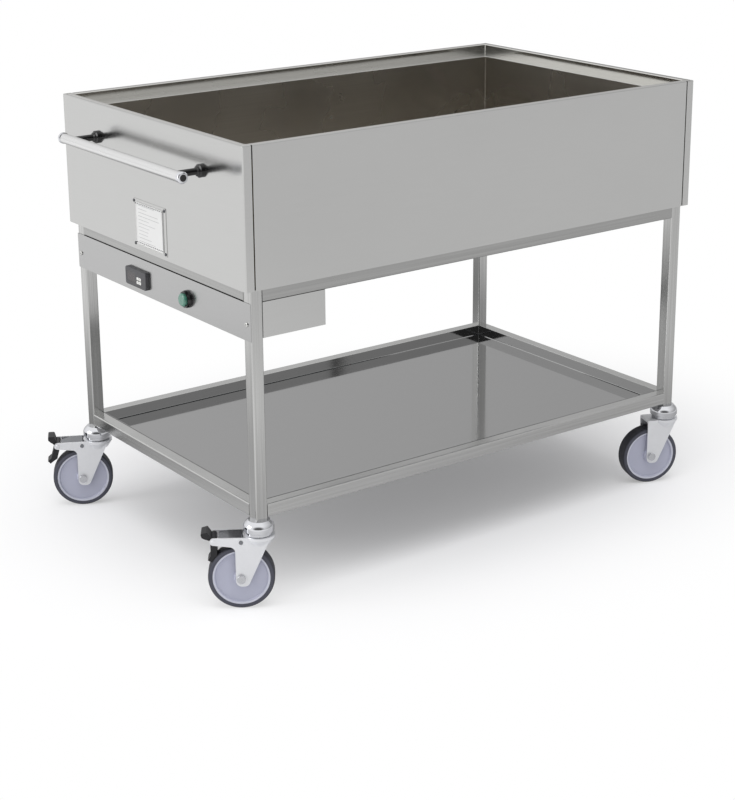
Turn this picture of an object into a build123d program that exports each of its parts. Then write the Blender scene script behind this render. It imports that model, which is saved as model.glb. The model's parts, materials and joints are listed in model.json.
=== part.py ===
from build123d import *
import math
import os

# Heated cart for food pans: an open double-walled tank on a welded tube frame, with a shelf and casters.
# Millimetres. X runs along the tank, with the handle and the controls at -X. Y runs across it, and Z is up
# from the floor. Every piece is placed about the tank's middle, and the whole is then moved so that the
# origin lies under the middle of the outline.

ORIGIN_SHIFT_X = 35.0
ORIGIN_SHIFT_Y = -17.0
CUT_PAST = 1.0

# Casters
WHEEL_RADIUS = 62.5
TYRE_WIDTH = 32.0
TYRE_DEPTH = 8.5
TYRE_EDGE = 5.0
RIM_LIP = 4.0
RIM_RECESS = 4.0
RIM_INSIDE_TYRE = 1.0
HUB_RADIUS = 14.0
HUB_EDGE = 2.0
CASTER_TRAIL = 34.0
AXLE_RADIUS = 6.0
AXLE_HEAD_RADIUS = 8.5
AXLE_HEAD_HEIGHT = 5.0
RUNNING_GAP = 0.08
SIDE_GAP = 0.3
FORK_SHEET = 2.5
FORK_INSIDE = 38.0
CHEEK_REAR = 10.0
CHEEK_BELOW = 15.5
CHEEK_FOOT = 22.7
CHEEK_CORNER = 11.0
CHEEK_FRONT = 19.0
CHEEK_SHOULDER = 8.0
YOKE_ABOVE_TYRE = 14.7
YOKE_THICKNESS = 5.0
YOKE_RADIUS = 30.0
DISH_RADIUS = 22.0
DISH_DEPTH = 12.0
DISH_BORE = 15.0
KINGPIN_RADIUS = 8.0
KINGPIN_HEAD_RADIUS = 12.0
KINGPIN_HEAD_HEIGHT = 3.5
HEAD_HEIGHT = 29.0
HEAD_RADIUS = 29.0
HEAD_TOP_RADIUS = 20.5
HEAD_EDGE = 2.0
HEAD_SEAT_RADIUS = 25.5
HEAD_SEAT_HEIGHT = 7.0
HEAD_SHOULDER = 9.0
HEAD_DOME = 12.0
STEM_HEIGHT = 40.0
STEM_GAP = 0.2
CASTER_ANGLES = {"front_left": 146.0, "back_left": 152.0, "front_right": 158.6, "back_right": 150.0}

# Wheel brakes, on the two left casters
BRAKED_CASTERS = {"front_left": "on", "back_left": "off"}
BRAKE_TRAVEL = 16.0
BRAKE_PIVOT_REACH = 50.0
BRAKE_PIVOT_RISE = 75.0
BRAKE_PIN_RADIUS = 3.0
BRAKE_HUB_RADIUS = 6.0
ARM_END_RADIUS = 7.0
ARM_SLOPE = -5.0
SHOE_GAP = 0.4
SHOE_THICKNESS = 8.0
SHOE_WIDTH = 28.0
SHOE_LOW_ANGLE = 30.0
SHOE_HIGH_ANGLE = 46.0
SHOE_WEB = 12.0
PEDAL_TIP_LENGTH = 19.0
PEDAL_TIP_THICKNESS = 8.0
PEDAL_TIP_HEIGHT = 20.0
PEDAL_TIP_LEAN = 6.0
PEDAL_TIP_CORNER = 2.5
PEDAL_WIDTH = 32.0
PLATE_SHEET = 2.0
PLATE_RIVET_RADIUS = 2.5
PLATE_RIVET_HEAD = 4.0
PLATE_RIVET_HEIGHT = 1.2
PLATE_RIVET_REACH = 33.0
PLATE_RIVET_DEPTH = 9.0
PLATE_YOKE_GAP = 2.0
PLATE_FLAT_END = 56.0
PLATE_SLOPE_LENGTH = 19.0
PLATE_DROP = 3.0

# Welded frame of square tube
TUBE = 25.0
TUBE_WALL = 1.5
TUBE_CORNER = 2.5
LEG_LENGTH = 443.0
LOWER_RAIL_RISE = 4.0
FRAME_INSET_X = 14.0
FRAME_INSET_Y = 8.0
SHELF_SHEET = 1.2
SHELF_LIFT = 1.8
SHELF_BEND = 3.0

# Tank
TANK_LENGTH = 1100.0
TANK_WIDTH = 670.0
TANK_HEIGHT = 263.0
SKIN = 1.5
SKIN_BEND = 2.5
HEM = 5.0
LIP_DEPTH = 14.0
BOTTOM_FLANGE = 30.0
END_RETURN = 18.0
PANEL_GAP = 2.5
PANEL_RETURN = 13.0
RIM_GROOVE = 1.5
RIM_INSET = 16.0
RIM_DROP = 18.0
WELL_MARGIN_X = 56.0
WELL_MARGIN_Y = 67.0
WELL_DEPTH = 205.0
WELL_CORNER = 4.0
RIM_CORNER = 3.0
FOLD_RADIUS = 1.5
INSULATION_GAP = 0.5
INSULATION_EDGE = 4.5
INSULATION_BELOW_LEDGE = 8.5
MAT_THICKNESS = 3.5
MAT_MARGIN_X = 94.0
MAT_MARGIN_Y = 68.0
PROBE_RADIUS = 3.0
PROBE_LENGTH = 40.0

# Drain under the well
DRAIN_X = 380.0
DRAIN_Y = 120.0
OUTLET_BORE = 10.5
PIPE_WALL = 2.5
OUTLET_FLANGE_RADIUS = 22.0
OUTLET_FLANGE_THICKNESS = 2.0
OUTLET_CLEARANCE = 3.0
PIPE_BELOW_FRAME = 20.0
VALVE_SOCKET = 8.0
VALVE_RADIUS = 18.0
VALVE_NECK_RADIUS = 16.0
VALVE_LENGTH = 50.0
VALVE_HEX = 34.0
VALVE_HEX_HEIGHT = 14.0
SPIGOT_LENGTH = 15.0
SPIGOT_RADIUS = 9.5
SPIGOT_BORE = 7.0
LEVER_LENGTH = 58.0
LEVER_WIDTH = 16.0
LEVER_SHEET = 3.0
LEVER_CORNER = 3.0
LEVER_STEM_RADIUS = 4.0
LEVER_NUT_RADIUS = 7.0
LEVER_NUT_HEIGHT = 3.4
STEM_BOSS_LENGTH = 8.0

# Handle and data plate on the left end
HANDLE_LENGTH = 460.0
HANDLE_RADIUS = 10.0
HANDLE_WALL = 1.5
HANDLE_REACH = 58.0
HANDLE_BELOW_TOP = 66.0
STANDOFF_SPACING = 390.0
STANDOFF_RADIUS = 6.5
ROSETTE_RADIUS = 12.5
ROSETTE_HEIGHT = 12.0
CAP_LENGTH = 8.0
CAP_RADIUS = 11.0
CAP_PLUG_LENGTH = 12.0
CAP_PLUG_GAP = 0.1
PLATE_LENGTH = 124.0
PLATE_HEIGHT = 94.0
PLATE_THICKNESS = 1.0
PLATE_CORNER = 3.0
PLATE_BELOW_TOP = 209.0
PLATE_RIVET_MARGIN = 5.0
RIVET_RADIUS = 1.9
RIVET_HEAD_RADIUS = 3.4
RIVET_HEAD_HEIGHT = 1.6
RIVET_TAIL = 2.0
RIVET_TAIL_RADIUS = 2.4
FIXING_GAP = 0.1

# Controls under the left end
PANEL_HEIGHT = 71.0
PANEL_FLANGE = 12.0
SCREW_RADIUS = 2.0
SCREW_HEAD_RADIUS = 4.5
SCREW_HEAD_HEIGHT = 2.4
SCREW_SLOT = 1.0
CONTROL_BELOW_FRAME = 65.0
HOUSING_LENGTH = 161.0
HOUSING_FLOOR_RISE = 4.0
HOUSING_SHEET = 1.5
BEZEL_LENGTH = 80.0
BEZEL_HEIGHT = 36.0
BEZEL_THICKNESS = 7.0
BEZEL_CORNER = 5.0
BEZEL_Y = 78.0
CASE_LENGTH = 70.6
CASE_HEIGHT = 28.6
CASE_DEPTH = 60.0
CUTOUT_GAP = 0.2
WINDOW_LENGTH = 34.0
WINDOW_HEIGHT = 20.0
WINDOW_DEPTH = 1.5
WINDOW_THICKNESS = 1.2
WINDOW_OFFSET = 17.0
WINDOW_CORNER = 1.0
KEY_LENGTH = 7.4
KEY_HEIGHT = 5.8
KEY_THICKNESS = 2.9
KEY_CORNER = 1.0
KEY_PROUD = 0.6
KEY_GAP = 0.2
KEY_TRAVEL = 0.5
KEY_PITCH_Y = 9.0
KEY_PITCH_Z = 7.5
KEYS_OFFSET_Y = -14.0
KEYS_OFFSET_Z = -3.0
SWITCH_Y = -108.0
COLLAR_RADIUS = 17.0
COLLAR_HEIGHT = 8.0
COLLAR_FLOOR = 0.7
COLLAR_TAPER = 1.5
SWITCH_BARREL_RADIUS = 11.0
SWITCH_BARREL_LENGTH = 42.0
BUTTON_RADIUS = 12.8
BUTTON_GAP = 0.2
BUTTON_PROUD = 6.0
BUTTON_DOME = 3.5
BUTTON_TRAVEL = 3.0
GLAND_FROM_SIDE = 107.0
GLAND_THREAD_RADIUS = 8.0
GLAND_BORE = 4.0
GLAND_HEX = 22.0
GLAND_HEX_HEIGHT = 6.0
GLAND_DOME_LENGTH = 12.0
GLAND_DOME_RADIUS = 10.0
GLAND_NUT_HEIGHT = 5.0
GLAND_THREAD_PAST = 2.0

# Heights that follow from the sizes above
AXLE_Z = WHEEL_RADIUS
YOKE_BOTTOM = 2 * WHEEL_RADIUS + YOKE_ABOVE_TYRE
YOKE_TOP = YOKE_BOTTOM + YOKE_THICKNESS
HEAD_BOTTOM = YOKE_TOP + SIDE_GAP
LEG_BOTTOM = HEAD_BOTTOM + HEAD_HEIGHT
FRAME_TOP = LEG_BOTTOM + LEG_LENGTH
RAIL_BOTTOM = FRAME_TOP - TUBE
LOWER_RAIL_BOTTOM = LEG_BOTTOM + LOWER_RAIL_RISE
TANK_TOP = FRAME_TOP + TANK_HEIGHT
LEDGE_Z = TANK_TOP - RIM_DROP
WELL_FLOOR = LEDGE_Z - WELL_DEPTH
WELL_UNDERSIDE = WELL_FLOOR - SKIN
MAT_BOTTOM = WELL_UNDERSIDE - MAT_THICKNESS
COVER_TOP = FRAME_TOP + 2 * SKIN
CONTROL_Z = FRAME_TOP - CONTROL_BELOW_FRAME
PANEL_BOTTOM = RAIL_BOTTOM - PANEL_HEIGHT
HOUSING_BOTTOM = PANEL_BOTTOM + HOUSING_FLOOR_RISE

# Distances from the tank's middle
FRAME_HALF_X = TANK_LENGTH / 2 - FRAME_INSET_X
FRAME_HALF_Y = TANK_WIDTH / 2 - FRAME_INSET_Y
LEG_X = FRAME_HALF_X - TUBE / 2
LEG_Y = FRAME_HALF_Y - TUBE / 2
CLEAR_HALF_X = FRAME_HALF_X - TUBE
CLEAR_HALF_Y = FRAME_HALF_Y - TUBE
WELL_HALF_X = TANK_LENGTH / 2 - WELL_MARGIN_X
WELL_HALF_Y = TANK_WIDTH / 2 - WELL_MARGIN_Y
MOUTH_HALF_X = TANK_LENGTH / 2 - RIM_INSET
MOUTH_HALF_Y = TANK_WIDTH / 2 - RIM_INSET
GLAND_Y = FRAME_HALF_Y - GLAND_FROM_SIDE
LEFT_END = -TANK_LENGTH / 2
PANEL_BACK = -FRAME_HALF_X
PANEL_FACE = PANEL_BACK - SKIN
BEZEL_FACE = PANEL_FACE - BEZEL_THICKNESS
END_SPLIT = TANK_LENGTH / 2 - END_RETURN
LONG_PANEL_END = END_SPLIT - PANEL_GAP
LEGS = {
    "front_left": (-LEG_X, -LEG_Y),
    "front_right": (LEG_X, -LEG_Y),
    "back_left": (-LEG_X, LEG_Y),
    "back_right": (LEG_X, LEG_Y),
}
FORK_HALF = FORK_INSIDE / 2
FORK_OUTER_HALF = FORK_HALF + FORK_SHEET
RIM_RADIUS = WHEEL_RADIUS - TYRE_DEPTH
PIPE_RADIUS = OUTLET_BORE + PIPE_WALL
RIVET_OFFSETS = [
    (side_y * (PLATE_LENGTH / 2 - PLATE_RIVET_MARGIN), side_z * (PLATE_HEIGHT / 2 - PLATE_RIVET_MARGIN))
    for side_y in (-1, 1)
    for side_z in (-1, 1)
]
KEYS = {"up": (1, 1), "down": (1, -1), "set": (-1, 1), "power": (-1, -1)}


def block(x_low, x_high, y_low, y_high, z_low, z_high):
    """Box between two corners."""
    box = Box(x_high - x_low, y_high - y_low, z_high - z_low)
    return Pos((x_low + x_high) / 2, (y_low + y_high) / 2, (z_low + z_high) / 2) * box


def upright(half_x, half_y, z_low, z_high, corner):
    """Block about the middle with upright edges rounded."""
    return Pos(0, 0, z_low) * extrude(RectangleRounded(2 * half_x, 2 * half_y, corner), z_high - z_low)


def tank_ring(outer_inset, inner_inset, z_low, z_high, corner=SKIN_BEND):
    """Ring that follows the tank's outline, between two insets from its outer faces."""
    half_x = TANK_LENGTH / 2
    half_y = TANK_WIDTH / 2
    inner_corner = max(corner - SKIN, SKIN / 2)
    outer = upright(half_x - outer_inset, half_y - outer_inset, z_low, z_high, corner)
    cut_low = z_low - CUT_PAST
    inner = upright(half_x - inner_inset, half_y - inner_inset, cut_low, z_high + CUT_PAST, inner_corner)
    return outer - inner


def turned(*profile, radii=None):
    """Solid of revolution about Z from (radius, height) points, with a radius for each corner where given."""
    outline = FilletPolyline(*profile, radius=radii, close=True) if radii else Polyline(*profile, close=True)
    return revolve(Plane.XZ * make_face(outline), Axis.Z)


def rod(radius, length):
    """Round bar that starts at the origin and runs along Z."""
    return extrude(Circle(radius), length)


def rounded_rod(radius, length, edge):
    """Round bar like rod, with its far edge rounded."""
    return fillet(rod(radius, length).faces().sort_by(Axis.Z)[-1].edges(), edge)


def hexagon(across_flats, length):
    """Hexagonal bar that starts at the origin and runs along Z."""
    return extrude(RegularPolygon(across_flats / 2, 6, major_radius=False), length)


def along_x(shape):
    """Turns a shape made along +Z so that it points along -X, out of the left end."""
    return Rot(0, -90, 0) * shape


def along_y(shape):
    """Turns a shape made along +Z so that it points along +Y."""
    return Rot(-90, 0, 0) * shape


def top_outline(shape):
    """Outer edges of a shape's highest face."""
    return shape.faces().sort_by(Axis.Z)[-1].outer_wire().edges()


def top_opening(shape):
    """Inner edges of a shape's highest face."""
    return shape.faces().sort_by(Axis.Z)[-1].inner_wires()[0].edges()


def one_solid(shape):
    """The single solid of a shape whose pieces are joined."""
    solids = shape.solids()
    if len(solids) != 1:
        raise ValueError(f"expected one solid, found {len(solids)}")
    return solids[0]


# The tank's outer skin is one folded outline with a hem at the top and a flange at the bottom. It is cut
# into two end panels, whose returns show on the long sides, and two long panels between them.


def tank_skin():
    wall = tank_ring(0, SKIN, FRAME_TOP, TANK_TOP)
    hem = tank_ring(0, HEM, TANK_TOP - SKIN, TANK_TOP)
    lip = tank_ring(HEM - SKIN, HEM, TANK_TOP - LIP_DEPTH, TANK_TOP)
    flange = tank_ring(0, BOTTOM_FLANGE, FRAME_TOP, FRAME_TOP + SKIN)
    skin = wall + hem + lip + flange
    return fillet(top_outline(skin), FOLD_RADIUS)


def end_panel(skin, side):
    """End wall with returns on the long sides. Its bottom flange lies between those of the long panels."""
    reach = TANK_LENGTH
    width = TANK_WIDTH
    flange_x = TANK_LENGTH / 2 - BOTTOM_FLANGE
    flange_y = TANK_WIDTH / 2 - BOTTOM_FLANGE - PANEL_GAP
    region = block(END_SPLIT, reach, -width, width, 0, 2 * TANK_TOP)
    region += block(flange_x, reach, -flange_y, flange_y, 0, 2 * TANK_TOP)
    if side < 0:
        region = mirror(region, Plane.YZ)
    return skin & region


def end_panel_left(skin):
    panel = end_panel(skin, -1)
    for y, z in RIVET_OFFSETS:
        hole = rod(RIVET_RADIUS + FIXING_GAP, 4 * SKIN)
        panel -= Pos(LEFT_END + 2 * SKIN, y, TANK_TOP - PLATE_BELOW_TOP + z) * along_x(hole)
    return one_solid(panel)


def long_panel(skin, side):
    """Front or back wall, with a return at each end that closes the groove beside the end panel."""
    outer = TANK_WIDTH / 2
    region = block(-LONG_PANEL_END, LONG_PANEL_END, outer - BOTTOM_FLANGE, 2 * outer, 0, 2 * TANK_TOP)
    end = LONG_PANEL_END
    flange = block(end - SKIN, end, outer - PANEL_RETURN, outer, FRAME_TOP, TANK_TOP - LIP_DEPTH)
    returns = flange + mirror(flange, Plane.YZ)
    if side < 0:
        region = mirror(region, Plane.XZ)
        returns = mirror(returns, Plane.XZ)
    return one_solid((skin & region) + returns)


def well():
    """Deep pan that holds the water, folded and welded from one sheet."""
    pan = upright(WELL_HALF_X + SKIN, WELL_HALF_Y + SKIN, WELL_UNDERSIDE, LEDGE_Z - SKIN, WELL_CORNER + SKIN)
    pan = fillet(pan.faces().sort_by(Axis.Z)[0].edges(), WELL_CORNER)
    cavity = upright(WELL_HALF_X, WELL_HALF_Y, WELL_FLOOR, TANK_TOP, WELL_CORNER)
    cavity = fillet(cavity.faces().sort_by(Axis.Z)[0].edges(), WELL_CORNER - SKIN)
    pan -= cavity
    pan -= Pos(DRAIN_X, DRAIN_Y, WELL_UNDERSIDE - SKIN) * rod(OUTLET_BORE, 4 * SKIN)
    return one_solid(pan)


def well_ledge():
    """Flat frame welded on the pan's mouth, where the rims of the food pans hang."""
    ledge = upright(MOUTH_HALF_X, MOUTH_HALF_Y, LEDGE_Z - SKIN, LEDGE_Z, RIM_CORNER)
    ledge -= upright(WELL_HALF_X, WELL_HALF_Y, LEDGE_Z - 2 * SKIN, TANK_TOP, WELL_CORNER)
    return one_solid(fillet(top_opening(ledge), FOLD_RADIUS / 2))


def mitred(ring):
    """The four sides of a ring that follows the tank's outline, cut apart at mitred corners."""
    x = TANK_LENGTH / 2
    y = TANK_WIDTH / 2
    depth = 2 * RIM_INSET
    front = Polygon((-x, -y), (x, -y), (x - depth, depth - y), (depth - x, depth - y), align=None)
    right = Polygon((x, -y), (x, y), (x - depth, y - depth), (x - depth, depth - y), align=None)
    regions = [extrude(outline, 2 * TANK_TOP) for outline in (front, right)]
    regions += [Rot(0, 0, 180) * region for region in regions]
    return Compound([one_solid(ring & region) for region in regions])


def well_rim():
    """Four folded strips round the mouth: a lip turned down, a flat top and a step down to the ledge."""
    half_x = TANK_LENGTH / 2
    half_y = TANK_WIDTH / 2
    lip = HEM + RIM_GROOVE
    rim = upright(half_x - lip, half_y - lip, TANK_TOP - SKIN, TANK_TOP, SKIN_BEND)
    rim += upright(MOUTH_HALF_X + SKIN, MOUTH_HALF_Y + SKIN, LEDGE_Z - SKIN, TANK_TOP, RIM_CORNER + SKIN)
    rim -= upright(MOUTH_HALF_X, MOUTH_HALF_Y, LEDGE_Z - 2 * SKIN, TANK_TOP + SKIN, RIM_CORNER)
    rim += tank_ring(lip, lip + SKIN, TANK_TOP - LIP_DEPTH, TANK_TOP - SKIN)
    rim += tank_ring(HEM, lip + SKIN, TANK_TOP - LIP_DEPTH, TANK_TOP - LIP_DEPTH + SKIN)
    rim = fillet(top_outline(rim), FOLD_RADIUS / 2)
    rim = fillet(top_opening(rim), FOLD_RADIUS)
    return mitred(rim)


def bottom_cover():
    edge = PANEL_RETURN + 2 * SKIN
    half_x = TANK_LENGTH / 2 - 4 * SKIN
    half_y = TANK_WIDTH / 2 - edge
    cover = upright(half_x, half_y, FRAME_TOP + SKIN, COVER_TOP, SKIN_BEND)
    hole = rod(PIPE_RADIUS + FIXING_GAP, 4 * SKIN)
    return cover - Pos(DRAIN_X, DRAIN_Y, FRAME_TOP) * hole


def probe_place():
    """Middle of the probe, which lies against the underside of the well beside the mat."""
    return (-(WELL_HALF_X - MAT_MARGIN_X / 2), 0, WELL_UNDERSIDE - PROBE_RADIUS)


def drain_space():
    """Space kept free round the flange of the drain."""
    return Pos(DRAIN_X, DRAIN_Y, FRAME_TOP) * rod(OUTLET_FLANGE_RADIUS + OUTLET_CLEARANCE, TANK_HEIGHT)


def insulation():
    edge_y = PANEL_RETURN + SKIN + INSULATION_GAP
    half_x = TANK_LENGTH / 2 - INSULATION_EDGE
    half_y = TANK_WIDTH / 2 - edge_y
    foam = upright(half_x, half_y, COVER_TOP, LEDGE_Z - SKIN - INSULATION_BELOW_LEDGE, WELL_CORNER)
    inside_x = WELL_HALF_X + SKIN + INSULATION_GAP
    inside_y = WELL_HALF_Y + SKIN + INSULATION_GAP
    foam -= upright(inside_x, inside_y, MAT_BOTTOM - SIDE_GAP, TANK_TOP, WELL_CORNER)
    foam -= drain_space()
    x, y, z = probe_place()
    pocket = Box(PROBE_LENGTH + 4 * PROBE_RADIUS, 4 * PROBE_RADIUS, 2 * PROBE_RADIUS + 2 * SIDE_GAP)
    return one_solid(foam - Pos(x, y, z) * pocket)


def heating_mat():
    half_x = WELL_HALF_X - MAT_MARGIN_X
    half_y = WELL_HALF_Y - MAT_MARGIN_Y
    mat = upright(half_x, half_y, MAT_BOTTOM, WELL_UNDERSIDE, 2 * WELL_CORNER)
    return mat - drain_space()


def temperature_probe():
    x, y, z = probe_place()
    probe = fillet(rod(PROBE_RADIUS, PROBE_LENGTH).edges(), PROBE_RADIUS / 3)
    return Pos(x + PROBE_LENGTH / 2, y, z) * along_x(probe)


# The drain is a flanged pipe welded under the well, a ball valve pushed on to it and a lever on the valve.


def drain_outlet():
    flange = rod(OUTLET_FLANGE_RADIUS, OUTLET_FLANGE_THICKNESS)
    pipe = rod(PIPE_RADIUS, WELL_UNDERSIDE - FRAME_TOP + PIPE_BELOW_FRAME)
    outlet = Pos(0, 0, WELL_UNDERSIDE - OUTLET_FLANGE_THICKNESS) * flange
    outlet += Pos(0, 0, FRAME_TOP - PIPE_BELOW_FRAME) * pipe
    outlet -= Pos(0, 0, FRAME_TOP - 2 * PIPE_BELOW_FRAME) * rod(OUTLET_BORE, TANK_HEIGHT)
    return Pos(DRAIN_X, DRAIN_Y, 0) * one_solid(outlet)


def valve_stem_z():
    return FRAME_TOP - PIPE_BELOW_FRAME + VALVE_SOCKET - VALVE_LENGTH / 2


def drain_valve():
    top = FRAME_TOP - PIPE_BELOW_FRAME + VALVE_SOCKET
    bottom = top - VALVE_LENGTH
    body = Pos(0, 0, bottom) * rod(VALVE_NECK_RADIUS, VALVE_LENGTH)
    body += Pos(0, 0, top - VALVE_HEX_HEIGHT) * hexagon(VALVE_HEX, VALVE_HEX_HEIGHT)
    body += Pos(0, 0, bottom) * hexagon(VALVE_HEX, VALVE_HEX_HEIGHT)
    body += Pos(0, 0, valve_stem_z()) * Sphere(VALVE_RADIUS)
    body += Pos(0, 0, bottom - SPIGOT_LENGTH) * rod(SPIGOT_RADIUS, SPIGOT_LENGTH)
    boss_end = VALVE_RADIUS + STEM_BOSS_LENGTH
    pin_length = boss_end + 2 * SIDE_GAP + LEVER_SHEET + LEVER_NUT_HEIGHT
    nut = hexagon(2 * LEVER_NUT_RADIUS, -LEVER_NUT_HEIGHT)
    body += Pos(0, 0, valve_stem_z()) * along_y(rod(LEVER_NUT_RADIUS, -boss_end))
    body += Pos(0, 0, valve_stem_z()) * along_y(rod(LEVER_STEM_RADIUS, -pin_length))
    body += Pos(0, LEVER_NUT_HEIGHT - pin_length, valve_stem_z()) * along_y(nut)
    body -= Pos(0, 0, bottom - SPIGOT_LENGTH - CUT_PAST) * rod(SPIGOT_BORE, VALVE_LENGTH + SPIGOT_LENGTH)
    body -= Pos(0, 0, top - VALVE_SOCKET) * rod(PIPE_RADIUS + RUNNING_GAP, 2 * VALVE_SOCKET)
    return Pos(DRAIN_X, DRAIN_Y, 0) * one_solid(body)


def drain_lever():
    """Lever at the closed place, pointing along +X. It turns about the valve's stem to point down."""
    blade = Pos(LEVER_LENGTH / 2, 0) * RectangleRounded(LEVER_LENGTH, LEVER_WIDTH, LEVER_CORNER)
    outline = blade + Circle(LEVER_WIDTH / 2) - Circle(LEVER_STEM_RADIUS + RUNNING_GAP)
    y = DRAIN_Y - VALVE_RADIUS - STEM_BOSS_LENGTH - SIDE_GAP - LEVER_SHEET
    return Pos(DRAIN_X, y, valve_stem_z()) * along_y(extrude(outline, LEVER_SHEET))


# The frame is welded from square tube: four legs, and rails butted between them at the top and near the
# bottom. The shelf tray is welded inside the lower rails.


def square_tube(length):
    outside = RectangleRounded(TUBE, TUBE, TUBE_CORNER)
    inside = RectangleRounded(TUBE - 2 * TUBE_WALL, TUBE - 2 * TUBE_WALL, TUBE_CORNER - TUBE_WALL / 2)
    return extrude(outside - inside, length)


def leg(corner):
    x, y = LEGS[corner]
    tube = Pos(x, y, LEG_BOTTOM) * square_tube(LEG_LENGTH)
    if corner.endswith("left"):
        hole = rod(SCREW_RADIUS + FIXING_GAP, 4 * TUBE_WALL)
        tube -= Pos(PANEL_BACK + 2 * TUBE_WALL, y, CONTROL_Z) * along_x(hole)
    return one_solid(tube)


def rails(z_low):
    """Two rails along the cart and two across it, all between the legs."""
    z = z_low + TUBE / 2
    long_rail = Rot(0, 90, 0) * one_solid(square_tube(2 * CLEAR_HALF_X))
    cross_rail = Rot(-90, 0, 0) * one_solid(square_tube(2 * CLEAR_HALF_Y))
    return Compound(
        [Pos(-CLEAR_HALF_X, side * LEG_Y, z) * long_rail for side in (-1, 1)]
        + [Pos(side * LEG_X, -CLEAR_HALF_Y, z) * cross_rail for side in (-1, 1)]
    )


def shelf_tray():
    floor = LOWER_RAIL_BOTTOM + SHELF_LIFT
    rim = LOWER_RAIL_BOTTOM + TUBE
    outside = upright(CLEAR_HALF_X, CLEAR_HALF_Y, floor, rim, SHELF_SHEET)
    outside = fillet(outside.faces().sort_by(Axis.Z)[0].edges(), SHELF_BEND)
    inner_x = CLEAR_HALF_X - SHELF_SHEET
    inner_y = CLEAR_HALF_Y - SHELF_SHEET
    inside = upright(inner_x, inner_y, floor + SHELF_SHEET, 2 * rim, SHELF_SHEET / 2)
    inside = fillet(inside.faces().sort_by(Axis.Z)[0].edges(), SHELF_BEND - SHELF_SHEET)
    return one_solid(outside - inside)


# The push handle is a tube across the left end on two black standoffs. The data plate is riveted below it.


def handle_z():
    return TANK_TOP - HANDLE_BELOW_TOP


def handle_tube():
    length = HANDLE_LENGTH - 2 * CAP_LENGTH
    tube = rod(HANDLE_RADIUS, length) - rod(HANDLE_RADIUS - HANDLE_WALL, length)
    return Pos(LEFT_END - HANDLE_REACH, -length / 2, handle_z()) * along_y(tube)


def handle_end_caps():
    bore = HANDLE_RADIUS - HANDLE_WALL - CAP_PLUG_GAP
    cap = rounded_rod(CAP_RADIUS, CAP_LENGTH, CAP_LENGTH / 3)
    cap += Pos(0, 0, -CAP_PLUG_LENGTH) * rod(bore, CAP_PLUG_LENGTH)
    y = HANDLE_LENGTH / 2 - CAP_LENGTH
    back = Pos(LEFT_END - HANDLE_REACH, y, handle_z()) * along_y(one_solid(cap))
    return Compound([mirror(back, Plane.XZ), back])


def handle_standoffs():
    neck = (ROSETTE_RADIUS + STANDOFF_RADIUS) / 2
    standoff = turned(
        (0, 0),
        (ROSETTE_RADIUS, 0),
        (ROSETTE_RADIUS, ROSETTE_HEIGHT * 0.45),
        (neck, ROSETTE_HEIGHT * 0.6),
        (neck, ROSETTE_HEIGHT * 0.8),
        (STANDOFF_RADIUS, ROSETTE_HEIGHT),
        (STANDOFF_RADIUS, HANDLE_REACH),
        (0, HANDLE_REACH),
    )
    standoff = along_x(standoff)
    tube = Pos(-HANDLE_REACH, -TUBE, 0) * along_y(rod(HANDLE_RADIUS, 2 * TUBE))
    standoff = one_solid(standoff - tube)
    return Compound([Pos(LEFT_END, side * STANDOFF_SPACING / 2, handle_z()) * standoff for side in (-1, 1)])


def data_plate():
    plate = extrude(RectangleRounded(PLATE_HEIGHT, PLATE_LENGTH, PLATE_CORNER), PLATE_THICKNESS)
    for y, z in RIVET_OFFSETS:
        plate -= Pos(z, y, -CUT_PAST) * rod(RIVET_RADIUS + FIXING_GAP, PLATE_THICKNESS + 2 * CUT_PAST)
    return Pos(LEFT_END, 0, TANK_TOP - PLATE_BELOW_TOP) * along_x(one_solid(plate))


def plate_rivets():
    """Blind rivets: a low dome on the plate, a shank through the skin and a flared tail behind it."""
    grip = PLATE_THICKNESS + SKIN
    rivet = turned(
        (0, -grip - RIVET_TAIL),
        (RIVET_TAIL_RADIUS, -grip - RIVET_TAIL),
        (RIVET_TAIL_RADIUS, -grip),
        (RIVET_RADIUS, -grip),
        (RIVET_RADIUS, 0),
        (RIVET_HEAD_RADIUS, 0),
        (RIVET_HEAD_RADIUS * 0.8, RIVET_HEAD_HEIGHT * 0.7),
        (RIVET_HEAD_RADIUS * 0.4, RIVET_HEAD_HEIGHT),
        (0, RIVET_HEAD_HEIGHT),
    )
    x = LEFT_END - PLATE_THICKNESS
    z_mid = TANK_TOP - PLATE_BELOW_TOP
    return Compound([Pos(x, y, z_mid + z) * along_x(rivet) for y, z in RIVET_OFFSETS])


# The controls sit in a panel screwed to the two left legs, with a sheet housing behind it.


def control_panel():
    panel = block(PANEL_FACE, PANEL_BACK, -FRAME_HALF_Y, FRAME_HALF_Y, PANEL_BOTTOM, RAIL_BOTTOM)
    panel += block(
        PANEL_BACK,
        PANEL_BACK + PANEL_FLANGE,
        -CLEAR_HALF_Y + SKIN,
        CLEAR_HALF_Y - SKIN,
        PANEL_BOTTOM,
        PANEL_BOTTOM + SKIN,
    )
    cutout = Box(8 * SKIN, CASE_LENGTH + 2 * CUTOUT_GAP, CASE_HEIGHT + 2 * CUTOUT_GAP)
    panel -= Pos(PANEL_BACK, BEZEL_Y, CONTROL_Z) * cutout
    switch_hole = along_x(rod(SWITCH_BARREL_RADIUS + FIXING_GAP, 6 * SKIN))
    panel -= Pos(PANEL_BACK + 2 * SKIN, SWITCH_Y, CONTROL_Z) * switch_hole
    screw_hole = along_x(rod(SCREW_RADIUS + FIXING_GAP, 6 * SKIN))
    for side in (-1, 1):
        panel -= Pos(PANEL_BACK + 2 * SKIN, side * LEG_Y, CONTROL_Z) * screw_hole
    return one_solid(panel)


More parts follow.
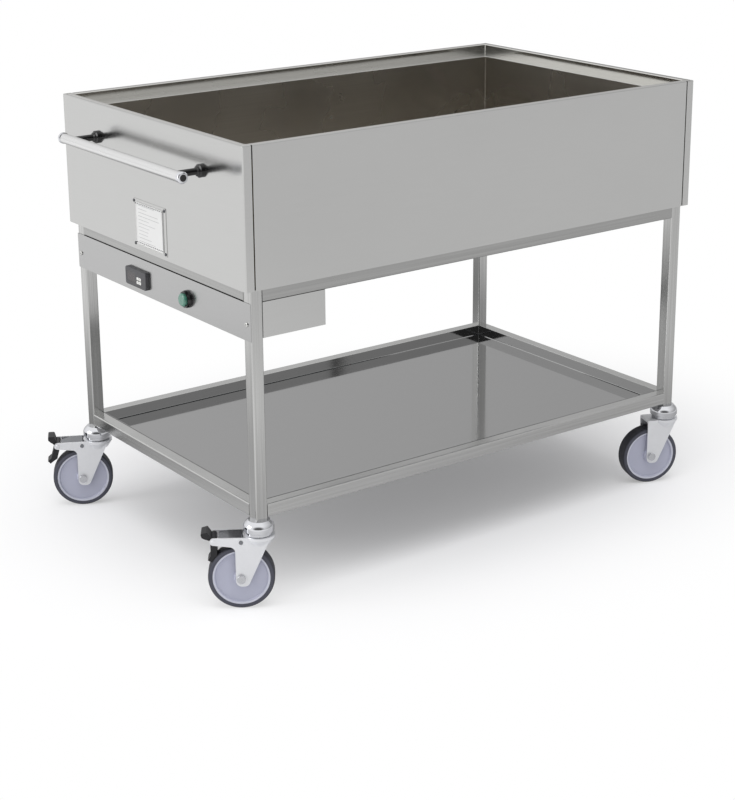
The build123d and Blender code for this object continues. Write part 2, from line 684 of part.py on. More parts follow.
def panel_screws():
    """Pan head screws with a cross recess, through the panel into the legs."""
    length = SKIN + 4 * TUBE_WALL
    screw = rounded_rod(SCREW_HEAD_RADIUS, SCREW_HEAD_HEIGHT, SCREW_HEAD_HEIGHT / 2)
    screw += Pos(0, 0, -length) * rod(SCREW_RADIUS, length)
    slot = Pos(0, 0, SCREW_HEAD_HEIGHT) * Box(SCREW_HEAD_RADIUS, SCREW_SLOT, SCREW_HEAD_HEIGHT)
    screw -= slot + Rot(0, 0, 90) * slot
    screw = along_x(one_solid(screw))
    return Compound([Pos(PANEL_FACE, side * LEG_Y, CONTROL_Z) * screw for side in (-1, 1)])


def housing_outline(inset):
    """Plan of the housing between the front and back rails' outer faces, notched round the legs."""
    right = PANEL_BACK + HOUSING_LENGTH - inset
    wide = FRAME_HALF_Y - inset
    narrow = CLEAR_HALF_Y - inset
    notch = -CLEAR_HALF_X + inset
    left = PANEL_BACK
    return Polygon(
        (left, -narrow),
        (notch, -narrow),
        (notch, -wide),
        (right, -wide),
        (right, wide),
        (notch, wide),
        (notch, narrow),
        (left, narrow),
        align=None,
    )


def control_housing():
    height = RAIL_BOTTOM - HOUSING_BOTTOM
    shell = Pos(0, 0, HOUSING_BOTTOM) * extrude(housing_outline(0), height)
    shell -= Pos(0, 0, HOUSING_BOTTOM + HOUSING_SHEET) * extrude(housing_outline(HOUSING_SHEET), height)
    right = PANEL_BACK + HOUSING_LENGTH
    tab_half = CLEAR_HALF_Y
    shell += block(right - HOUSING_SHEET, right, -tab_half, tab_half, RAIL_BOTTOM - TUBE / 2, FRAME_TOP)
    gland_hole = Rot(0, 90, 0) * rod(GLAND_THREAD_RADIUS + FIXING_GAP, 4 * HOUSING_SHEET)
    return one_solid(shell - Pos(right - 2 * HOUSING_SHEET, GLAND_Y, CONTROL_Z) * gland_hole)


def cable_gland():
    """Gland through the housing's right wall, with its nut inside."""
    dome = rounded_rod(GLAND_DOME_RADIUS, GLAND_DOME_LENGTH, GLAND_DOME_LENGTH / 4)
    thread = HOUSING_SHEET + GLAND_NUT_HEIGHT + GLAND_THREAD_PAST
    gland = hexagon(GLAND_HEX, GLAND_HEX_HEIGHT)
    gland += Pos(0, 0, GLAND_HEX_HEIGHT) * dome
    gland += Pos(0, 0, -thread) * rod(GLAND_THREAD_RADIUS, thread)
    gland += Pos(0, 0, -HOUSING_SHEET - GLAND_NUT_HEIGHT) * hexagon(GLAND_HEX, GLAND_NUT_HEIGHT)
    gland -= Pos(0, 0, -2 * thread) * rod(GLAND_BORE, 6 * thread)
    return Pos(PANEL_BACK + HOUSING_LENGTH, GLAND_Y, CONTROL_Z) * Rot(0, 90, 0) * one_solid(gland)


def key_place(name):
    """Middle of a key's front, in Y and Z."""
    side_y, side_z = KEYS[name]
    y = BEZEL_Y + KEYS_OFFSET_Y + side_y * KEY_PITCH_Y / 2
    z = CONTROL_Z + KEYS_OFFSET_Z + side_z * KEY_PITCH_Z / 2
    return y, z


def thermostat_case():
    """Bezel and case in one, with a recess for the window and pockets for the keys."""
    bezel = extrude(RectangleRounded(BEZEL_HEIGHT, BEZEL_LENGTH, BEZEL_CORNER), BEZEL_THICKNESS)
    bezel = fillet(bezel.faces().sort_by(Axis.Z)[-1].edges(), BEZEL_CORNER / 3)
    case = Pos(PANEL_FACE, BEZEL_Y, CONTROL_Z) * along_x(bezel)
    case += block(
        PANEL_FACE,
        PANEL_FACE + CASE_DEPTH,
        BEZEL_Y - CASE_LENGTH / 2,
        BEZEL_Y + CASE_LENGTH / 2,
        CONTROL_Z - CASE_HEIGHT / 2,
        CONTROL_Z + CASE_HEIGHT / 2,
    )
    window_recess = Box(2 * WINDOW_DEPTH, WINDOW_LENGTH, WINDOW_HEIGHT)
    case -= Pos(BEZEL_FACE, BEZEL_Y + WINDOW_OFFSET, CONTROL_Z) * window_recess
    pocket_depth = KEY_THICKNESS - KEY_PROUD + KEY_TRAVEL + KEY_GAP
    pocket = Box(2 * pocket_depth, KEY_LENGTH + 2 * KEY_GAP, KEY_HEIGHT + 2 * KEY_GAP)
    for name in KEYS:
        y, z = key_place(name)
        case -= Pos(BEZEL_FACE, y, z) * pocket
    return one_solid(case)


def thermostat_window():
    outline = RectangleRounded(WINDOW_HEIGHT - CUTOUT_GAP, WINDOW_LENGTH - CUTOUT_GAP, WINDOW_CORNER)
    window = extrude(outline, WINDOW_THICKNESS)
    return Pos(BEZEL_FACE + WINDOW_DEPTH, BEZEL_Y + WINDOW_OFFSET, CONTROL_Z) * along_x(window)


def thermostat_key(name):
    y, z = key_place(name)
    key = extrude(RectangleRounded(KEY_HEIGHT, KEY_LENGTH, KEY_CORNER), KEY_THICKNESS)
    key = fillet(key.faces().sort_by(Axis.Z)[-1].edges(), KEY_PROUD / 2)
    return Pos(BEZEL_FACE - KEY_PROUD + KEY_THICKNESS, y, z) * along_x(key)


def switch_collar():
    outer = COLLAR_RADIUS
    bore = BUTTON_RADIUS + BUTTON_GAP
    collar = turned(
        (0, -SWITCH_BARREL_LENGTH),
        (SWITCH_BARREL_RADIUS, -SWITCH_BARREL_LENGTH),
        (SWITCH_BARREL_RADIUS, 0),
        (outer, 0),
        (outer, COLLAR_HEIGHT * 0.4),
        (outer - COLLAR_TAPER, COLLAR_HEIGHT),
        (bore, COLLAR_HEIGHT),
        (bore, COLLAR_FLOOR),
        (0, COLLAR_FLOOR),
    )
    return Pos(PANEL_FACE, SWITCH_Y, CONTROL_Z) * along_x(collar)


def switch_button():
    """Domed green button, whose back stands off the collar's floor by its travel."""
    back = COLLAR_FLOOR + BUTTON_TRAVEL + SIDE_GAP
    front = COLLAR_HEIGHT + BUTTON_PROUD
    button = rounded_rod(BUTTON_RADIUS, front - back, BUTTON_DOME)
    return Pos(PANEL_FACE - back, SWITCH_Y, CONTROL_Z) * along_x(button)


# Each caster is made about its own swivel axis, with the wheel trailing along +X, and then turned and
# placed under its leg.


def at_caster(corner, shape):
    x, y = LEGS[corner]
    return Pos(x, y, 0) * Rot(0, 0, CASTER_ANGLES[corner]) * shape


def caster_head():
    """Chromed swivel head with its stem up in the leg and the riveted kingpin below the fork's yoke."""
    stem_radius = TUBE / 2 - TUBE_WALL - STEM_GAP
    rivet_top = YOKE_BOTTOM - SIDE_GAP
    rivet_bottom = rivet_top - KINGPIN_HEAD_HEIGHT
    head = turned(
        (0, rivet_bottom),
        (KINGPIN_HEAD_RADIUS - HEAD_EDGE / 2, rivet_bottom),
        (KINGPIN_HEAD_RADIUS, rivet_bottom + HEAD_EDGE / 2),
        (KINGPIN_HEAD_RADIUS, rivet_top),
        (KINGPIN_RADIUS, rivet_top),
        (KINGPIN_RADIUS, HEAD_BOTTOM),
        (HEAD_SEAT_RADIUS, HEAD_BOTTOM),
        (HEAD_SEAT_RADIUS, HEAD_BOTTOM + HEAD_SEAT_HEIGHT),
        (HEAD_RADIUS, HEAD_BOTTOM + HEAD_SEAT_HEIGHT),
        (HEAD_RADIUS, LEG_BOTTOM - HEAD_SHOULDER),
        (HEAD_TOP_RADIUS, LEG_BOTTOM),
        (stem_radius, LEG_BOTTOM),
        (stem_radius, LEG_BOTTOM + STEM_HEIGHT),
        (0, LEG_BOTTOM + STEM_HEIGHT),
        radii=[0, 0, 0, 0, 0, 0, HEAD_EDGE, 0, HEAD_EDGE, HEAD_DOME, HEAD_EDGE, 0, 0, 0],
    )
    return head


def cheek_outline(braked):
    """Side view of one fork cheek, with X the distance from the swivel axis and Y the height."""
    rear = CASTER_TRAIL + CHEEK_REAR
    foot = AXLE_Z - CHEEK_BELOW
    shoulder = YOKE_TOP - CHEEK_SHOULDER
    front = [(rear - CHEEK_FOOT, foot), (-CHEEK_FRONT, shoulder), (-CHEEK_FRONT, YOKE_TOP)]
    if not braked:
        corners = front + [(rear, YOKE_TOP), (rear, foot)]
        radii = [CHEEK_CORNER, 0, 0, 0, CHEEK_CORNER]
        return make_face(FilletPolyline(*corners, radius=radii, close=True))
    pivot_x, pivot_z = brake_pivot()
    arm_top = pivot_z + ARM_END_RADIUS
    arm_under = pivot_z - ARM_END_RADIUS
    arm = [(DISH_RADIUS, YOKE_TOP), (pivot_x, arm_top), (pivot_x, arm_under), (rear, arm_under + ARM_SLOPE)]
    arm += [(rear, foot)]
    radii = [CHEEK_CORNER, 0, 0, 0, 0, 0, CHEEK_CORNER, CHEEK_CORNER]
    outline = make_face(FilletPolyline(*(front + arm), radius=radii, close=True))
    return outline + Pos(pivot_x, pivot_z) * Circle(ARM_END_RADIUS)


def brake_pivot():
    """Place of the brake pedal's pin in the side view: X from the swivel axis and Z from the floor."""
    return CASTER_TRAIL + BRAKE_PIVOT_REACH, AXLE_Z + BRAKE_PIVOT_RISE


def plate_rivet_place():
    """Place of the rivets that hold the brake's cover plate, in the same side view."""
    return PLATE_RIVET_REACH, YOKE_TOP - PLATE_RIVET_DEPTH


def cross_pin(x, z, radius, half_length):
    """Round bar across a fork."""
    return Pos(x, -half_length, z) * along_y(rod(radius, 2 * half_length))


def fork(braked):
    """Pressed yoke with a dished swivel seat and two cheeks that hold the axle."""
    cheeks = extrude(Plane.XZ * cheek_outline(braked), FORK_OUTER_HALF, both=True)
    inside = block(-TANK_WIDTH, TANK_WIDTH, -FORK_HALF, FORK_HALF, 0, 2 * YOKE_TOP)
    body = cheeks - inside
    body += turned(
        (0, YOKE_TOP),
        (YOKE_RADIUS, YOKE_TOP),
        (YOKE_RADIUS, YOKE_BOTTOM),
        (DISH_RADIUS, YOKE_BOTTOM - DISH_DEPTH),
        (0, YOKE_BOTTOM - DISH_DEPTH),
    )
    if not braked:
        rear = CASTER_TRAIL + CHEEK_REAR
        body += block(0, rear, -FORK_OUTER_HALF, FORK_OUTER_HALF, YOKE_BOTTOM, YOKE_TOP)
    body -= Pos(0, 0, YOKE_BOTTOM - 2 * DISH_DEPTH) * rod(DISH_BORE, 2 * DISH_DEPTH)
    body -= rod(KINGPIN_RADIUS + RUNNING_GAP, 2 * YOKE_TOP)
    body -= cross_pin(CASTER_TRAIL, AXLE_Z, AXLE_RADIUS + RUNNING_GAP, YOKE_TOP)
    if braked:
        pivot_x, pivot_z = brake_pivot()
        body -= cross_pin(pivot_x, pivot_z, BRAKE_PIN_RADIUS + RUNNING_GAP, YOKE_TOP)
        rivet_x, rivet_z = plate_rivet_place()
        body -= cross_pin(rivet_x, rivet_z, PLATE_RIVET_RADIUS + RUNNING_GAP, YOKE_TOP)
    return one_solid(body)


def axle():
    """Bolt through the cheeks with a round head and a hexagon nut."""
    half = FORK_OUTER_HALF
    head = rounded_rod(AXLE_HEAD_RADIUS, AXLE_HEAD_HEIGHT, AXLE_HEAD_HEIGHT / 4)
    nut = extrude(RegularPolygon(AXLE_HEAD_RADIUS, 6), AXLE_HEAD_HEIGHT)
    bolt = Pos(0, 0, -half) * rod(AXLE_RADIUS, 2 * half) + Pos(0, 0, half) * head
    bolt += Pos(0, 0, -half - AXLE_HEAD_HEIGHT) * nut
    return Pos(CASTER_TRAIL, 0, AXLE_Z) * along_y(one_solid(bolt))


def rim():
    """Moulded wheel centre with a raised lip, a flat web and a hub that runs on the axle."""
    bore = AXLE_RADIUS + RUNNING_GAP
    hub_half = FORK_HALF - SIDE_GAP
    lip_half = TYRE_WIDTH / 2 - RIM_INSIDE_TYRE
    web_half = lip_half - RIM_RECESS
    lip_inside = RIM_RADIUS - RIM_LIP
    half_profile = [
        (bore, hub_half),
        (HUB_RADIUS - HUB_EDGE, hub_half),
        (HUB_RADIUS, hub_half - HUB_EDGE),
        (HUB_RADIUS + HUB_EDGE / 2, web_half),
        (lip_inside - HUB_EDGE, web_half),
        (lip_inside, lip_half - HUB_EDGE / 2),
        (lip_inside + HUB_EDGE / 2, lip_half),
        (RIM_RADIUS, lip_half),
    ]
    other_half = [(radius, -height) for radius, height in reversed(half_profile)]
    wheel = turned(*(half_profile + other_half))
    return Pos(CASTER_TRAIL, 0, AXLE_Z) * along_y(wheel)


def tyre():
    half = TYRE_WIDTH / 2
    ring = Pos(0, 0, -half) * (rod(WHEEL_RADIUS, TYRE_WIDTH) - rod(RIM_RADIUS, TYRE_WIDTH))
    edges = ring.edges().filter_by(GeomType.CIRCLE).sort_by(SortBy.RADIUS)[-2:]
    return Pos(CASTER_TRAIL, 0, AXLE_Z) * along_y(one_solid(fillet(edges, TYRE_EDGE)))


def brake_plate():
    """Cover plate over the brake, held between the cheeks by rivets, with a slope towards the pedal."""
    rivet_x, rivet_z = plate_rivet_place()
    start = YOKE_RADIUS + PLATE_YOKE_GAP
    bend = PLATE_FLAT_END
    end = bend + PLATE_SLOPE_LENGTH
    top = YOKE_TOP
    corners = [(start, top), (bend, top), (end, top - PLATE_DROP), (end, top - PLATE_DROP - PLATE_SHEET)]
    corners += [(bend, top - PLATE_SHEET), (start, top - PLATE_SHEET)]
    plate = extrude(Plane.XZ * make_face(Polyline(*corners, close=True)), FORK_HALF, both=True)
    ear_low = rivet_z - 2 * PLATE_RIVET_RADIUS
    ears = block(start, rivet_x + 3 * PLATE_RIVET_RADIUS, -FORK_HALF, FORK_HALF, ear_low, top - PLATE_SHEET)
    inner = FORK_HALF - PLATE_SHEET
    ears -= block(0, 2 * YOKE_TOP, -inner, inner, 0, 2 * YOKE_TOP)
    shank = cross_pin(rivet_x, rivet_z, PLATE_RIVET_RADIUS, FORK_OUTER_HALF)
    heads = cross_pin(rivet_x, rivet_z, PLATE_RIVET_HEAD, FORK_OUTER_HALF + PLATE_RIVET_HEIGHT)
    heads -= block(0, 2 * YOKE_TOP, -FORK_OUTER_HALF, FORK_OUTER_HALF, 0, 2 * YOKE_TOP)
    return one_solid(plate + ears + shank + heads)


def beside_wheel(radius, angle):
    """Point in the side view at a distance from the axle and an angle above level."""
    turn = math.radians(angle)
    return CASTER_TRAIL + radius * math.cos(turn), AXLE_Z + radius * math.sin(turn)


def brake_pedal(state):
    """Black pedal on a cross pin: a tip to press above the pin and a shoe for the tyre below it."""
    pivot_x, pivot_z = brake_pivot()
    tread = WHEEL_RADIUS + SHOE_GAP
    angles = [SHOE_LOW_ANGLE, (SHOE_LOW_ANGLE + SHOE_HIGH_ANGLE) / 2, SHOE_HIGH_ANGLE]
    inner_arc = [beside_wheel(tread, angle) for angle in angles]
    outer_arc = [beside_wheel(tread + SHOE_THICKNESS, angle) for angle in reversed(angles)]
    wire = Wire(
        [
            ThreePointArc(*inner_arc).edge(),
            Line(inner_arc[2], outer_arc[0]).edge(),
            ThreePointArc(*outer_arc).edge(),
            Line(outer_arc[2], inner_arc[0]).edge(),
        ]
    )
    shoe = make_face(wire)
    web = Polygon(
        (pivot_x - SHOE_WEB / 2, pivot_z),
        inner_arc[2],
        outer_arc[1],
        (pivot_x + SHOE_WEB / 2, pivot_z),
        align=None,
    )
    tip_out = pivot_x + PEDAL_TIP_LENGTH
    tip_top = pivot_z + PEDAL_TIP_HEIGHT
    tip = FilletPolyline(
        (pivot_x, pivot_z),
        (pivot_x + PEDAL_TIP_LEAN, tip_top),
        (tip_out, tip_top),
        (tip_out, tip_top - PEDAL_TIP_THICKNESS),
        (pivot_x + BRAKE_HUB_RADIUS, pivot_z),
        radius=[0, PEDAL_TIP_CORNER, PEDAL_TIP_CORNER, PEDAL_TIP_CORNER, 0],
        close=True,
    )
    # The shoe is drawn with the brake on and the tip with the brake off, as each is shaped to fit there.
    about_pin = Pos(pivot_x, pivot_z)
    shoe_off = about_pin * Rot(0, 0, BRAKE_TRAVEL) * about_pin.inverse() * (shoe + web)
    hub = about_pin * Circle(BRAKE_HUB_RADIUS)
    outline = shoe_off + hub + make_face(tip)
    pedal = extrude(Plane.XZ * outline, SHOE_WIDTH / 2, both=True)
    tip_block = extrude(Plane.XZ * make_face(tip), PEDAL_WIDTH / 2, both=True)
    tip_block = tip_block - block(0, 2 * pivot_x, -PEDAL_WIDTH, PEDAL_WIDTH, 0, pivot_z + BRAKE_HUB_RADIUS)
    pedal = pedal + tip_block
    pedal += cross_pin(pivot_x, pivot_z, BRAKE_HUB_RADIUS, FORK_HALF - SIDE_GAP)
    pedal += cross_pin(pivot_x, pivot_z, BRAKE_PIN_RADIUS, FORK_OUTER_HALF + CUT_PAST)
    if state == "on":
        pin = Axis((pivot_x, 0, pivot_z), (0, 1, 0))
        pedal = pedal.rotate(pin, BRAKE_TRAVEL)
    return one_solid(pedal)


def build_nodes():
    """Every node by name, in the model's own frame."""
    skin = tank_skin()
    nodes = {
        "well": well(),
        "well_ledge": well_ledge(),
        "well_rim": well_rim(),
        "end_panel_left": end_panel_left(skin),
        "end_panel_right": one_solid(end_panel(skin, 1)),
        "front_panel": long_panel(skin, -1),
        "back_panel": long_panel(skin, 1),
        "bottom_cover": bottom_cover(),
        "insulation": insulation(),
        "heating_mat": heating_mat(),
        "temperature_probe": temperature_probe(),
        "drain_outlet": drain_outlet(),
        "drain_valve": drain_valve(),
        "drain_lever": drain_lever(),
        "legs": Compound([leg(corner) for corner in LEGS]),
        "upper_rails": rails(RAIL_BOTTOM),
        "lower_rails": rails(LOWER_RAIL_BOTTOM),
        "shelf_tray": shelf_tray(),
        "handle_tube": handle_tube(),
        "handle_end_caps": handle_end_caps(),
        "handle_standoffs": handle_standoffs(),
        "data_plate": data_plate(),
        "plate_rivets": plate_rivets(),
        "control_panel": control_panel(),
        "panel_screws": panel_screws(),
        "control_housing": control_housing(),
        "cable_gland": cable_gland(),
        "thermostat_case": thermostat_case(),
        "thermostat_window": thermostat_window(),
        "switch_collar": switch_collar(),
        "switch_button": switch_button(),
    }
    for name in KEYS:
        nodes[f"thermostat_key_{name}"] = thermostat_key(name)
    for corner in LEGS:
        braked = corner in BRAKED_CASTERS
        nodes[f"caster_{corner}_head"] = at_caster(corner, caster_head())
        nodes[f"caster_{corner}_fork"] = at_caster(corner, fork(braked))
        nodes[f"caster_{corner}_axle"] = at_caster(corner, axle())
        nodes[f"caster_{corner}_rim"] = at_caster(corner, rim())
        nodes[f"caster_{corner}_tyre"] = at_caster(corner, tyre())
        if braked:
            nodes[f"caster_{corner}_brake_plate"] = at_caster(corner, brake_plate())
            nodes[f"caster_{corner}_brake_pedal"] = at_caster(corner, brake_pedal(BRAKED_CASTERS[corner]))
    return nodes


os.makedirs("parts", exist_ok=True)
for node_name, node_shape in build_nodes().items():
    export_step(Pos(ORIGIN_SHIFT_X, ORIGIN_SHIFT_Y, 0) * node_shape, f"parts/{node_name}.step")
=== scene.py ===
import json
import math

import bpy
from mathutils import Matrix, Vector


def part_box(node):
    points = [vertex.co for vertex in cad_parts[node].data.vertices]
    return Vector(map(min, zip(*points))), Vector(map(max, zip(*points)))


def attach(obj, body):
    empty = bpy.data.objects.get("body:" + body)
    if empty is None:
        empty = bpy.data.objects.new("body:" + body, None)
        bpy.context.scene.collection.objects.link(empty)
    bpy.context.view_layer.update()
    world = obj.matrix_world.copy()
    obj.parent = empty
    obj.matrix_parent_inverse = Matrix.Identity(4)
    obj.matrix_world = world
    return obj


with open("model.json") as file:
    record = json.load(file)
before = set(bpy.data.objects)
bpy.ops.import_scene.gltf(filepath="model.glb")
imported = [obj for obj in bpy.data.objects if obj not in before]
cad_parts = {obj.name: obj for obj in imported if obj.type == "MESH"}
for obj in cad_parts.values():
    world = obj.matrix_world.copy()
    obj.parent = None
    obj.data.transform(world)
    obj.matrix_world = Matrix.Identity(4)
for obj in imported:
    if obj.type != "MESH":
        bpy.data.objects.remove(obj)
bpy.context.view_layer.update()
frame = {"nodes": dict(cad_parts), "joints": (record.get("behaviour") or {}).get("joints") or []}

nodes = frame["nodes"]
MM = 0.001

# Camera
# It stands to the left of the cart's front and above the tank, as the photographer did. Its long lens and a
# small shift keep the upright edges nearly parallel.
TURN = math.radians(-36.04)
RISE = math.radians(16.99)
ROLL = math.radians(-0.41)
CAMERA_PLACE = Vector((-2.163, -2.980, 1.512))
FOCAL_PIXELS = 1827.2
PHOTO_HEIGHT = 800
SENSOR = 36.0
SHIFT = -0.1
backward = Vector((math.sin(TURN) * math.cos(RISE), -math.cos(TURN) * math.cos(RISE), math.sin(RISE)))
level_right = Vector((math.cos(TURN), math.sin(TURN), 0.0))
level_up = backward.cross(level_right)
right = math.cos(ROLL) * level_right + math.sin(ROLL) * level_up
up = backward.cross(right)
camera_data = bpy.data.cameras.new("camera")
camera_data.sensor_width = SENSOR
camera_data.lens = FOCAL_PIXELS * SENSOR / PHOTO_HEIGHT
camera_data.shift_y = SHIFT
camera = bpy.data.objects.new("camera", camera_data)
camera.matrix_world = Matrix.Translation(CAMERA_PLACE) @ Matrix((right, up, backward)).transposed().to_4x4()
bpy.context.scene.collection.objects.link(camera)
bpy.context.scene.camera = camera
bpy.context.scene.view_settings.view_transform = "Standard"


# Studio
# A white room with a pale floor, lit softly from above and from the left. To the eye the room and the far
# floor are plain white. The metal sees them white on the left, greyer low on the right, and dark where the
# room opens behind the photographer, and those differences tell one steel face from the next.
def linear(code):
    """Linear colour of an sRGB hex value."""
    parts = [int(code[start : start + 2], 16) / 255 for start in (0, 2, 4)]
    return [part / 12.92 if part <= 0.04045 else ((part + 0.055) / 1.055) ** 2.4 for part in parts] + [1.0]


def add_node(tree, kind, settings=None, links=None):
    """Adds a node. A setting is an input, by name or number, or a property, and a link is (node, output)."""
    node = tree.nodes.new(kind)
    for key, value in (settings or {}).items():
        if isinstance(key, int) or key in node.inputs:
            node.inputs[key].default_value = value
        else:
            setattr(node, key, value)
    for key, (source, output) in (links or {}).items():
        tree.links.new(source.outputs[output], node.inputs[key])
    return node


def empty_tree(owner):
    """The emptied node tree of a new material or world."""
    owner.use_nodes = True
    owner.node_tree.nodes.clear()
    return owner.node_tree


WHITE = linear("ffffff")
SKY_FILL = 0.66
ROOM_LEVEL = 0.66
ROOM_TURN = (-0.38, 0.0, 0.45)
ROOM_LEAST = 0.4
DARK_SIDE = (-0.57, -0.77, 0.29)
DARK_START = 0.72
DARK_FULL = 0.93
DARK_LEVEL = 0.12
world = bpy.data.worlds.new("studio")
bpy.context.scene.world = world
tree = empty_tree(world)
path = add_node(tree, "ShaderNodeLightPath")
mirrored = add_node(
    tree,
    "ShaderNodeMath",
    {"operation": "MAXIMUM"},
    {0: (path, "Is Glossy Ray"), 1: (path, "Is Transmission Ray")},
)
towards = add_node(tree, "ShaderNodeTexCoord")
turned = add_node(
    tree, "ShaderNodeVectorMath", {"operation": "DOT_PRODUCT", 1: ROOM_TURN}, {0: (towards, "Generated")}
)
level = add_node(tree, "ShaderNodeMath", {"operation": "ADD", 1: ROOM_LEVEL}, {0: (turned, "Value")})
held = add_node(tree, "ShaderNodeClamp", {"Min": ROOM_LEAST, "Max": 1.0}, {"Value": (level, 0)})
facing = add_node(
    tree, "ShaderNodeVectorMath", {"operation": "DOT_PRODUCT", 1: DARK_SIDE}, {0: (towards, "Generated")}
)
opening = add_node(
    tree,
    "ShaderNodeMapRange",
    {"From Min": DARK_START, "From Max": DARK_FULL, "To Min": 1.0, "To Max": DARK_LEVEL},
    {"Value": (facing, "Value")},
)
seen = add_node(tree, "ShaderNodeMath", {"operation": "MULTIPLY"}, {0: (held, 0), 1: (opening, 0)})
fill = add_node(tree, "ShaderNodeBackground", {"Color": WHITE, "Strength": SKY_FILL})
in_metal = add_node(tree, "ShaderNodeBackground", {"Color": WHITE}, {"Strength": (seen, 0)})
to_eye = add_node(tree, "ShaderNodeBackground", {"Color": WHITE, "Strength": 1.0})
lit = add_node(tree, "ShaderNodeMixShader", {}, {0: (mirrored, 0), 1: (fill, 0), 2: (in_metal, 0)})
room = add_node(tree, "ShaderNodeMixShader", {}, {0: (path, "Is Camera Ray"), 1: (lit, 0), 2: (to_eye, 0)})
add_node(tree, "ShaderNodeOutputWorld", {}, {"Surface": (room, 0)})

FLOOR_SIZE = 24.0
FLOOR_OVAL = (1.0, 1.25, 1.0)
SHADOW_PLACE = (-0.12, -0.1, 0.0)
SHADOW_EDGE = 0.38
PLAIN_WHITE = 1.2
FLOOR_NEAR_GLOW = 0.14
BRIGHT_SIDE = -1.0
DIM_SIDE = 0.9
DIM_LEVEL = 0.75
METAL_SHARE = 0.5
# Seen in the metal, the floor's glow is dimmed round a point behind the cart: a painted shadow of the cart.
PAINTED_SHADOW_OFFSET = (-0.3, -0.6, 0.0)
NEAR_RADIUS = 1.0
FAR_RADIUS = 1.85
PAINTED_SHADOW_LEVEL = 0.35
bpy.ops.object.select_all(action="DESELECT")
bpy.ops.mesh.primitive_plane_add(size=FLOOR_SIZE, location=(0, 0, 0))
floor = bpy.context.object
floor.name = "floor"
floor_paint = bpy.data.materials.new("matt_white_floor_paint")
tree = empty_tree(floor_paint)
place = add_node(tree, "ShaderNodeTexCoord")
oval = add_node(
    tree, "ShaderNodeMapping", {"Scale": FLOOR_OVAL, "Location": SHADOW_PLACE}, {"Vector": (place, "Object")}
)
distance = add_node(tree, "ShaderNodeVectorMath", {"operation": "LENGTH"}, {0: (oval, 0)})
fade = add_node(
    tree,
    "ShaderNodeMapRange",
    {
        "From Min": SHADOW_EDGE,
        "From Max": PLAIN_WHITE,
        "To Min": FLOOR_NEAR_GLOW,
        "interpolation_type": "SMOOTHSTEP",
    },
    {"Value": (distance, "Value")},
)
path = add_node(tree, "ShaderNodeLightPath")
watched = add_node(
    tree, "ShaderNodeMath", {"operation": "MAXIMUM"}, {0: (path, "Is Camera Ray"), 1: (path, "Is Glossy Ray")}
)
for_metal = add_node(
    tree, "ShaderNodeMath", {"operation": "MULTIPLY", 1: METAL_SHARE}, {0: (path, "Is Glossy Ray")}
)
at_least = add_node(tree, "ShaderNodeMath", {"operation": "MAXIMUM"}, {0: (fade, 0), 1: (for_metal, 0)})
share = add_node(tree, "ShaderNodeMath", {"operation": "MULTIPLY"}, {0: (watched, 0), 1: (at_least, 0)})
axes = add_node(tree, "ShaderNodeSeparateXYZ", {}, {0: (place, "Object")})
sideways = add_node(
    tree,
    "ShaderNodeMapRange",
    {"From Min": BRIGHT_SIDE, "From Max": DIM_SIDE, "To Min": 1.0, "To Max": DIM_LEVEL},
    {"Value": (axes, 0)},
)
# The painted shadow of the cart, seen only by glossy rays: the glow is dimmed near a point behind the cart.
from_shade = add_node(
    tree, "ShaderNodeVectorMath", {"operation": "ADD", 1: PAINTED_SHADOW_OFFSET}, {0: (place, "Object")}
)
shade = add_node(tree, "ShaderNodeVectorMath", {"operation": "LENGTH"}, {0: (from_shade, 0)})
outwards = add_node(
    tree,
    "ShaderNodeMapRange",
    {"From Min": NEAR_RADIUS, "From Max": FAR_RADIUS, "To Min": PAINTED_SHADOW_LEVEL, "To Max": 1.0},
    {"Value": (shade, "Value")},
)
level = add_node(tree, "ShaderNodeMath", {"operation": "MULTIPLY"}, {0: (sideways, 0), 1: (outwards, 0)})
matte = add_node(tree, "ShaderNodeBsdfDiffuse", {"Color": linear("f4f4f6")})
in_metal = add_node(tree, "ShaderNodeEmission", {"Color": WHITE}, {"Strength": (level, 0)})
to_eye = add_node(tree, "ShaderNodeEmission", {"Color": WHITE, "Strength": 1.0})
glow = add_node(
    tree, "ShaderNodeMixShader", {}, {0: (path, "Is Camera Ray"), 1: (in_metal, 0), 2: (to_eye, 0)}
)
surface = add_node(tree, "ShaderNodeMixShader", {}, {0: (share, 0), 1: (matte, 0), 2: (glow, 0)})
add_node(tree, "ShaderNodeOutputMaterial", {}, {"Surface": (surface, 0)})
floor.data.materials.append(floor_paint)

# The steel mirrors the white room instead of the overhead lamp, so that the well isn't burnt out from above.
LAMPS = {
    "overhead_box": {
        "place": (-0.4, -0.6, 3.2),
        "aim": (0, 0, 0.5),
        "size": (3.0, 2.4),
        "watts": 62,
        "mirrored": False,
    },
    "left_box": {
        "place": (-3.4, 0.9, 1.5),
        "aim": (-0.5, 0, 0.7),
        "size": (1.8, 2.0),
        "watts": 30,
        "mirrored": True,
    },
}
for name, lamp in LAMPS.items():
    light = bpy.data.lights.new(name, "AREA")
    light.shape = "RECTANGLE"
    light.size, light.size_y = lamp["size"]
    light.energy = lamp["watts"]
    holder = bpy.data.objects.new(name, light)
    holder.location = lamp["place"]
    holder.rotation_euler = (Vector(lamp["aim"]) - Vector(lamp["place"])).to_track_quat("-Z", "Y").to_euler()
    holder.visible_glossy = lamp["mirrored"]
    bpy.context.scene.collection.objects.link(holder)


# Tank skin
# Four folded panels of 1.5 mm stainless sheet: two ends with returns at the corners, and a front and a back
# between them. The sheet comes satin ground, and the fine scratches run along it.
def dress(node_names, material):
    """Gives CAD nodes a material."""
    for name in node_names:
        nodes[name].data.materials.clear()
        nodes[name].data.materials.append(material)


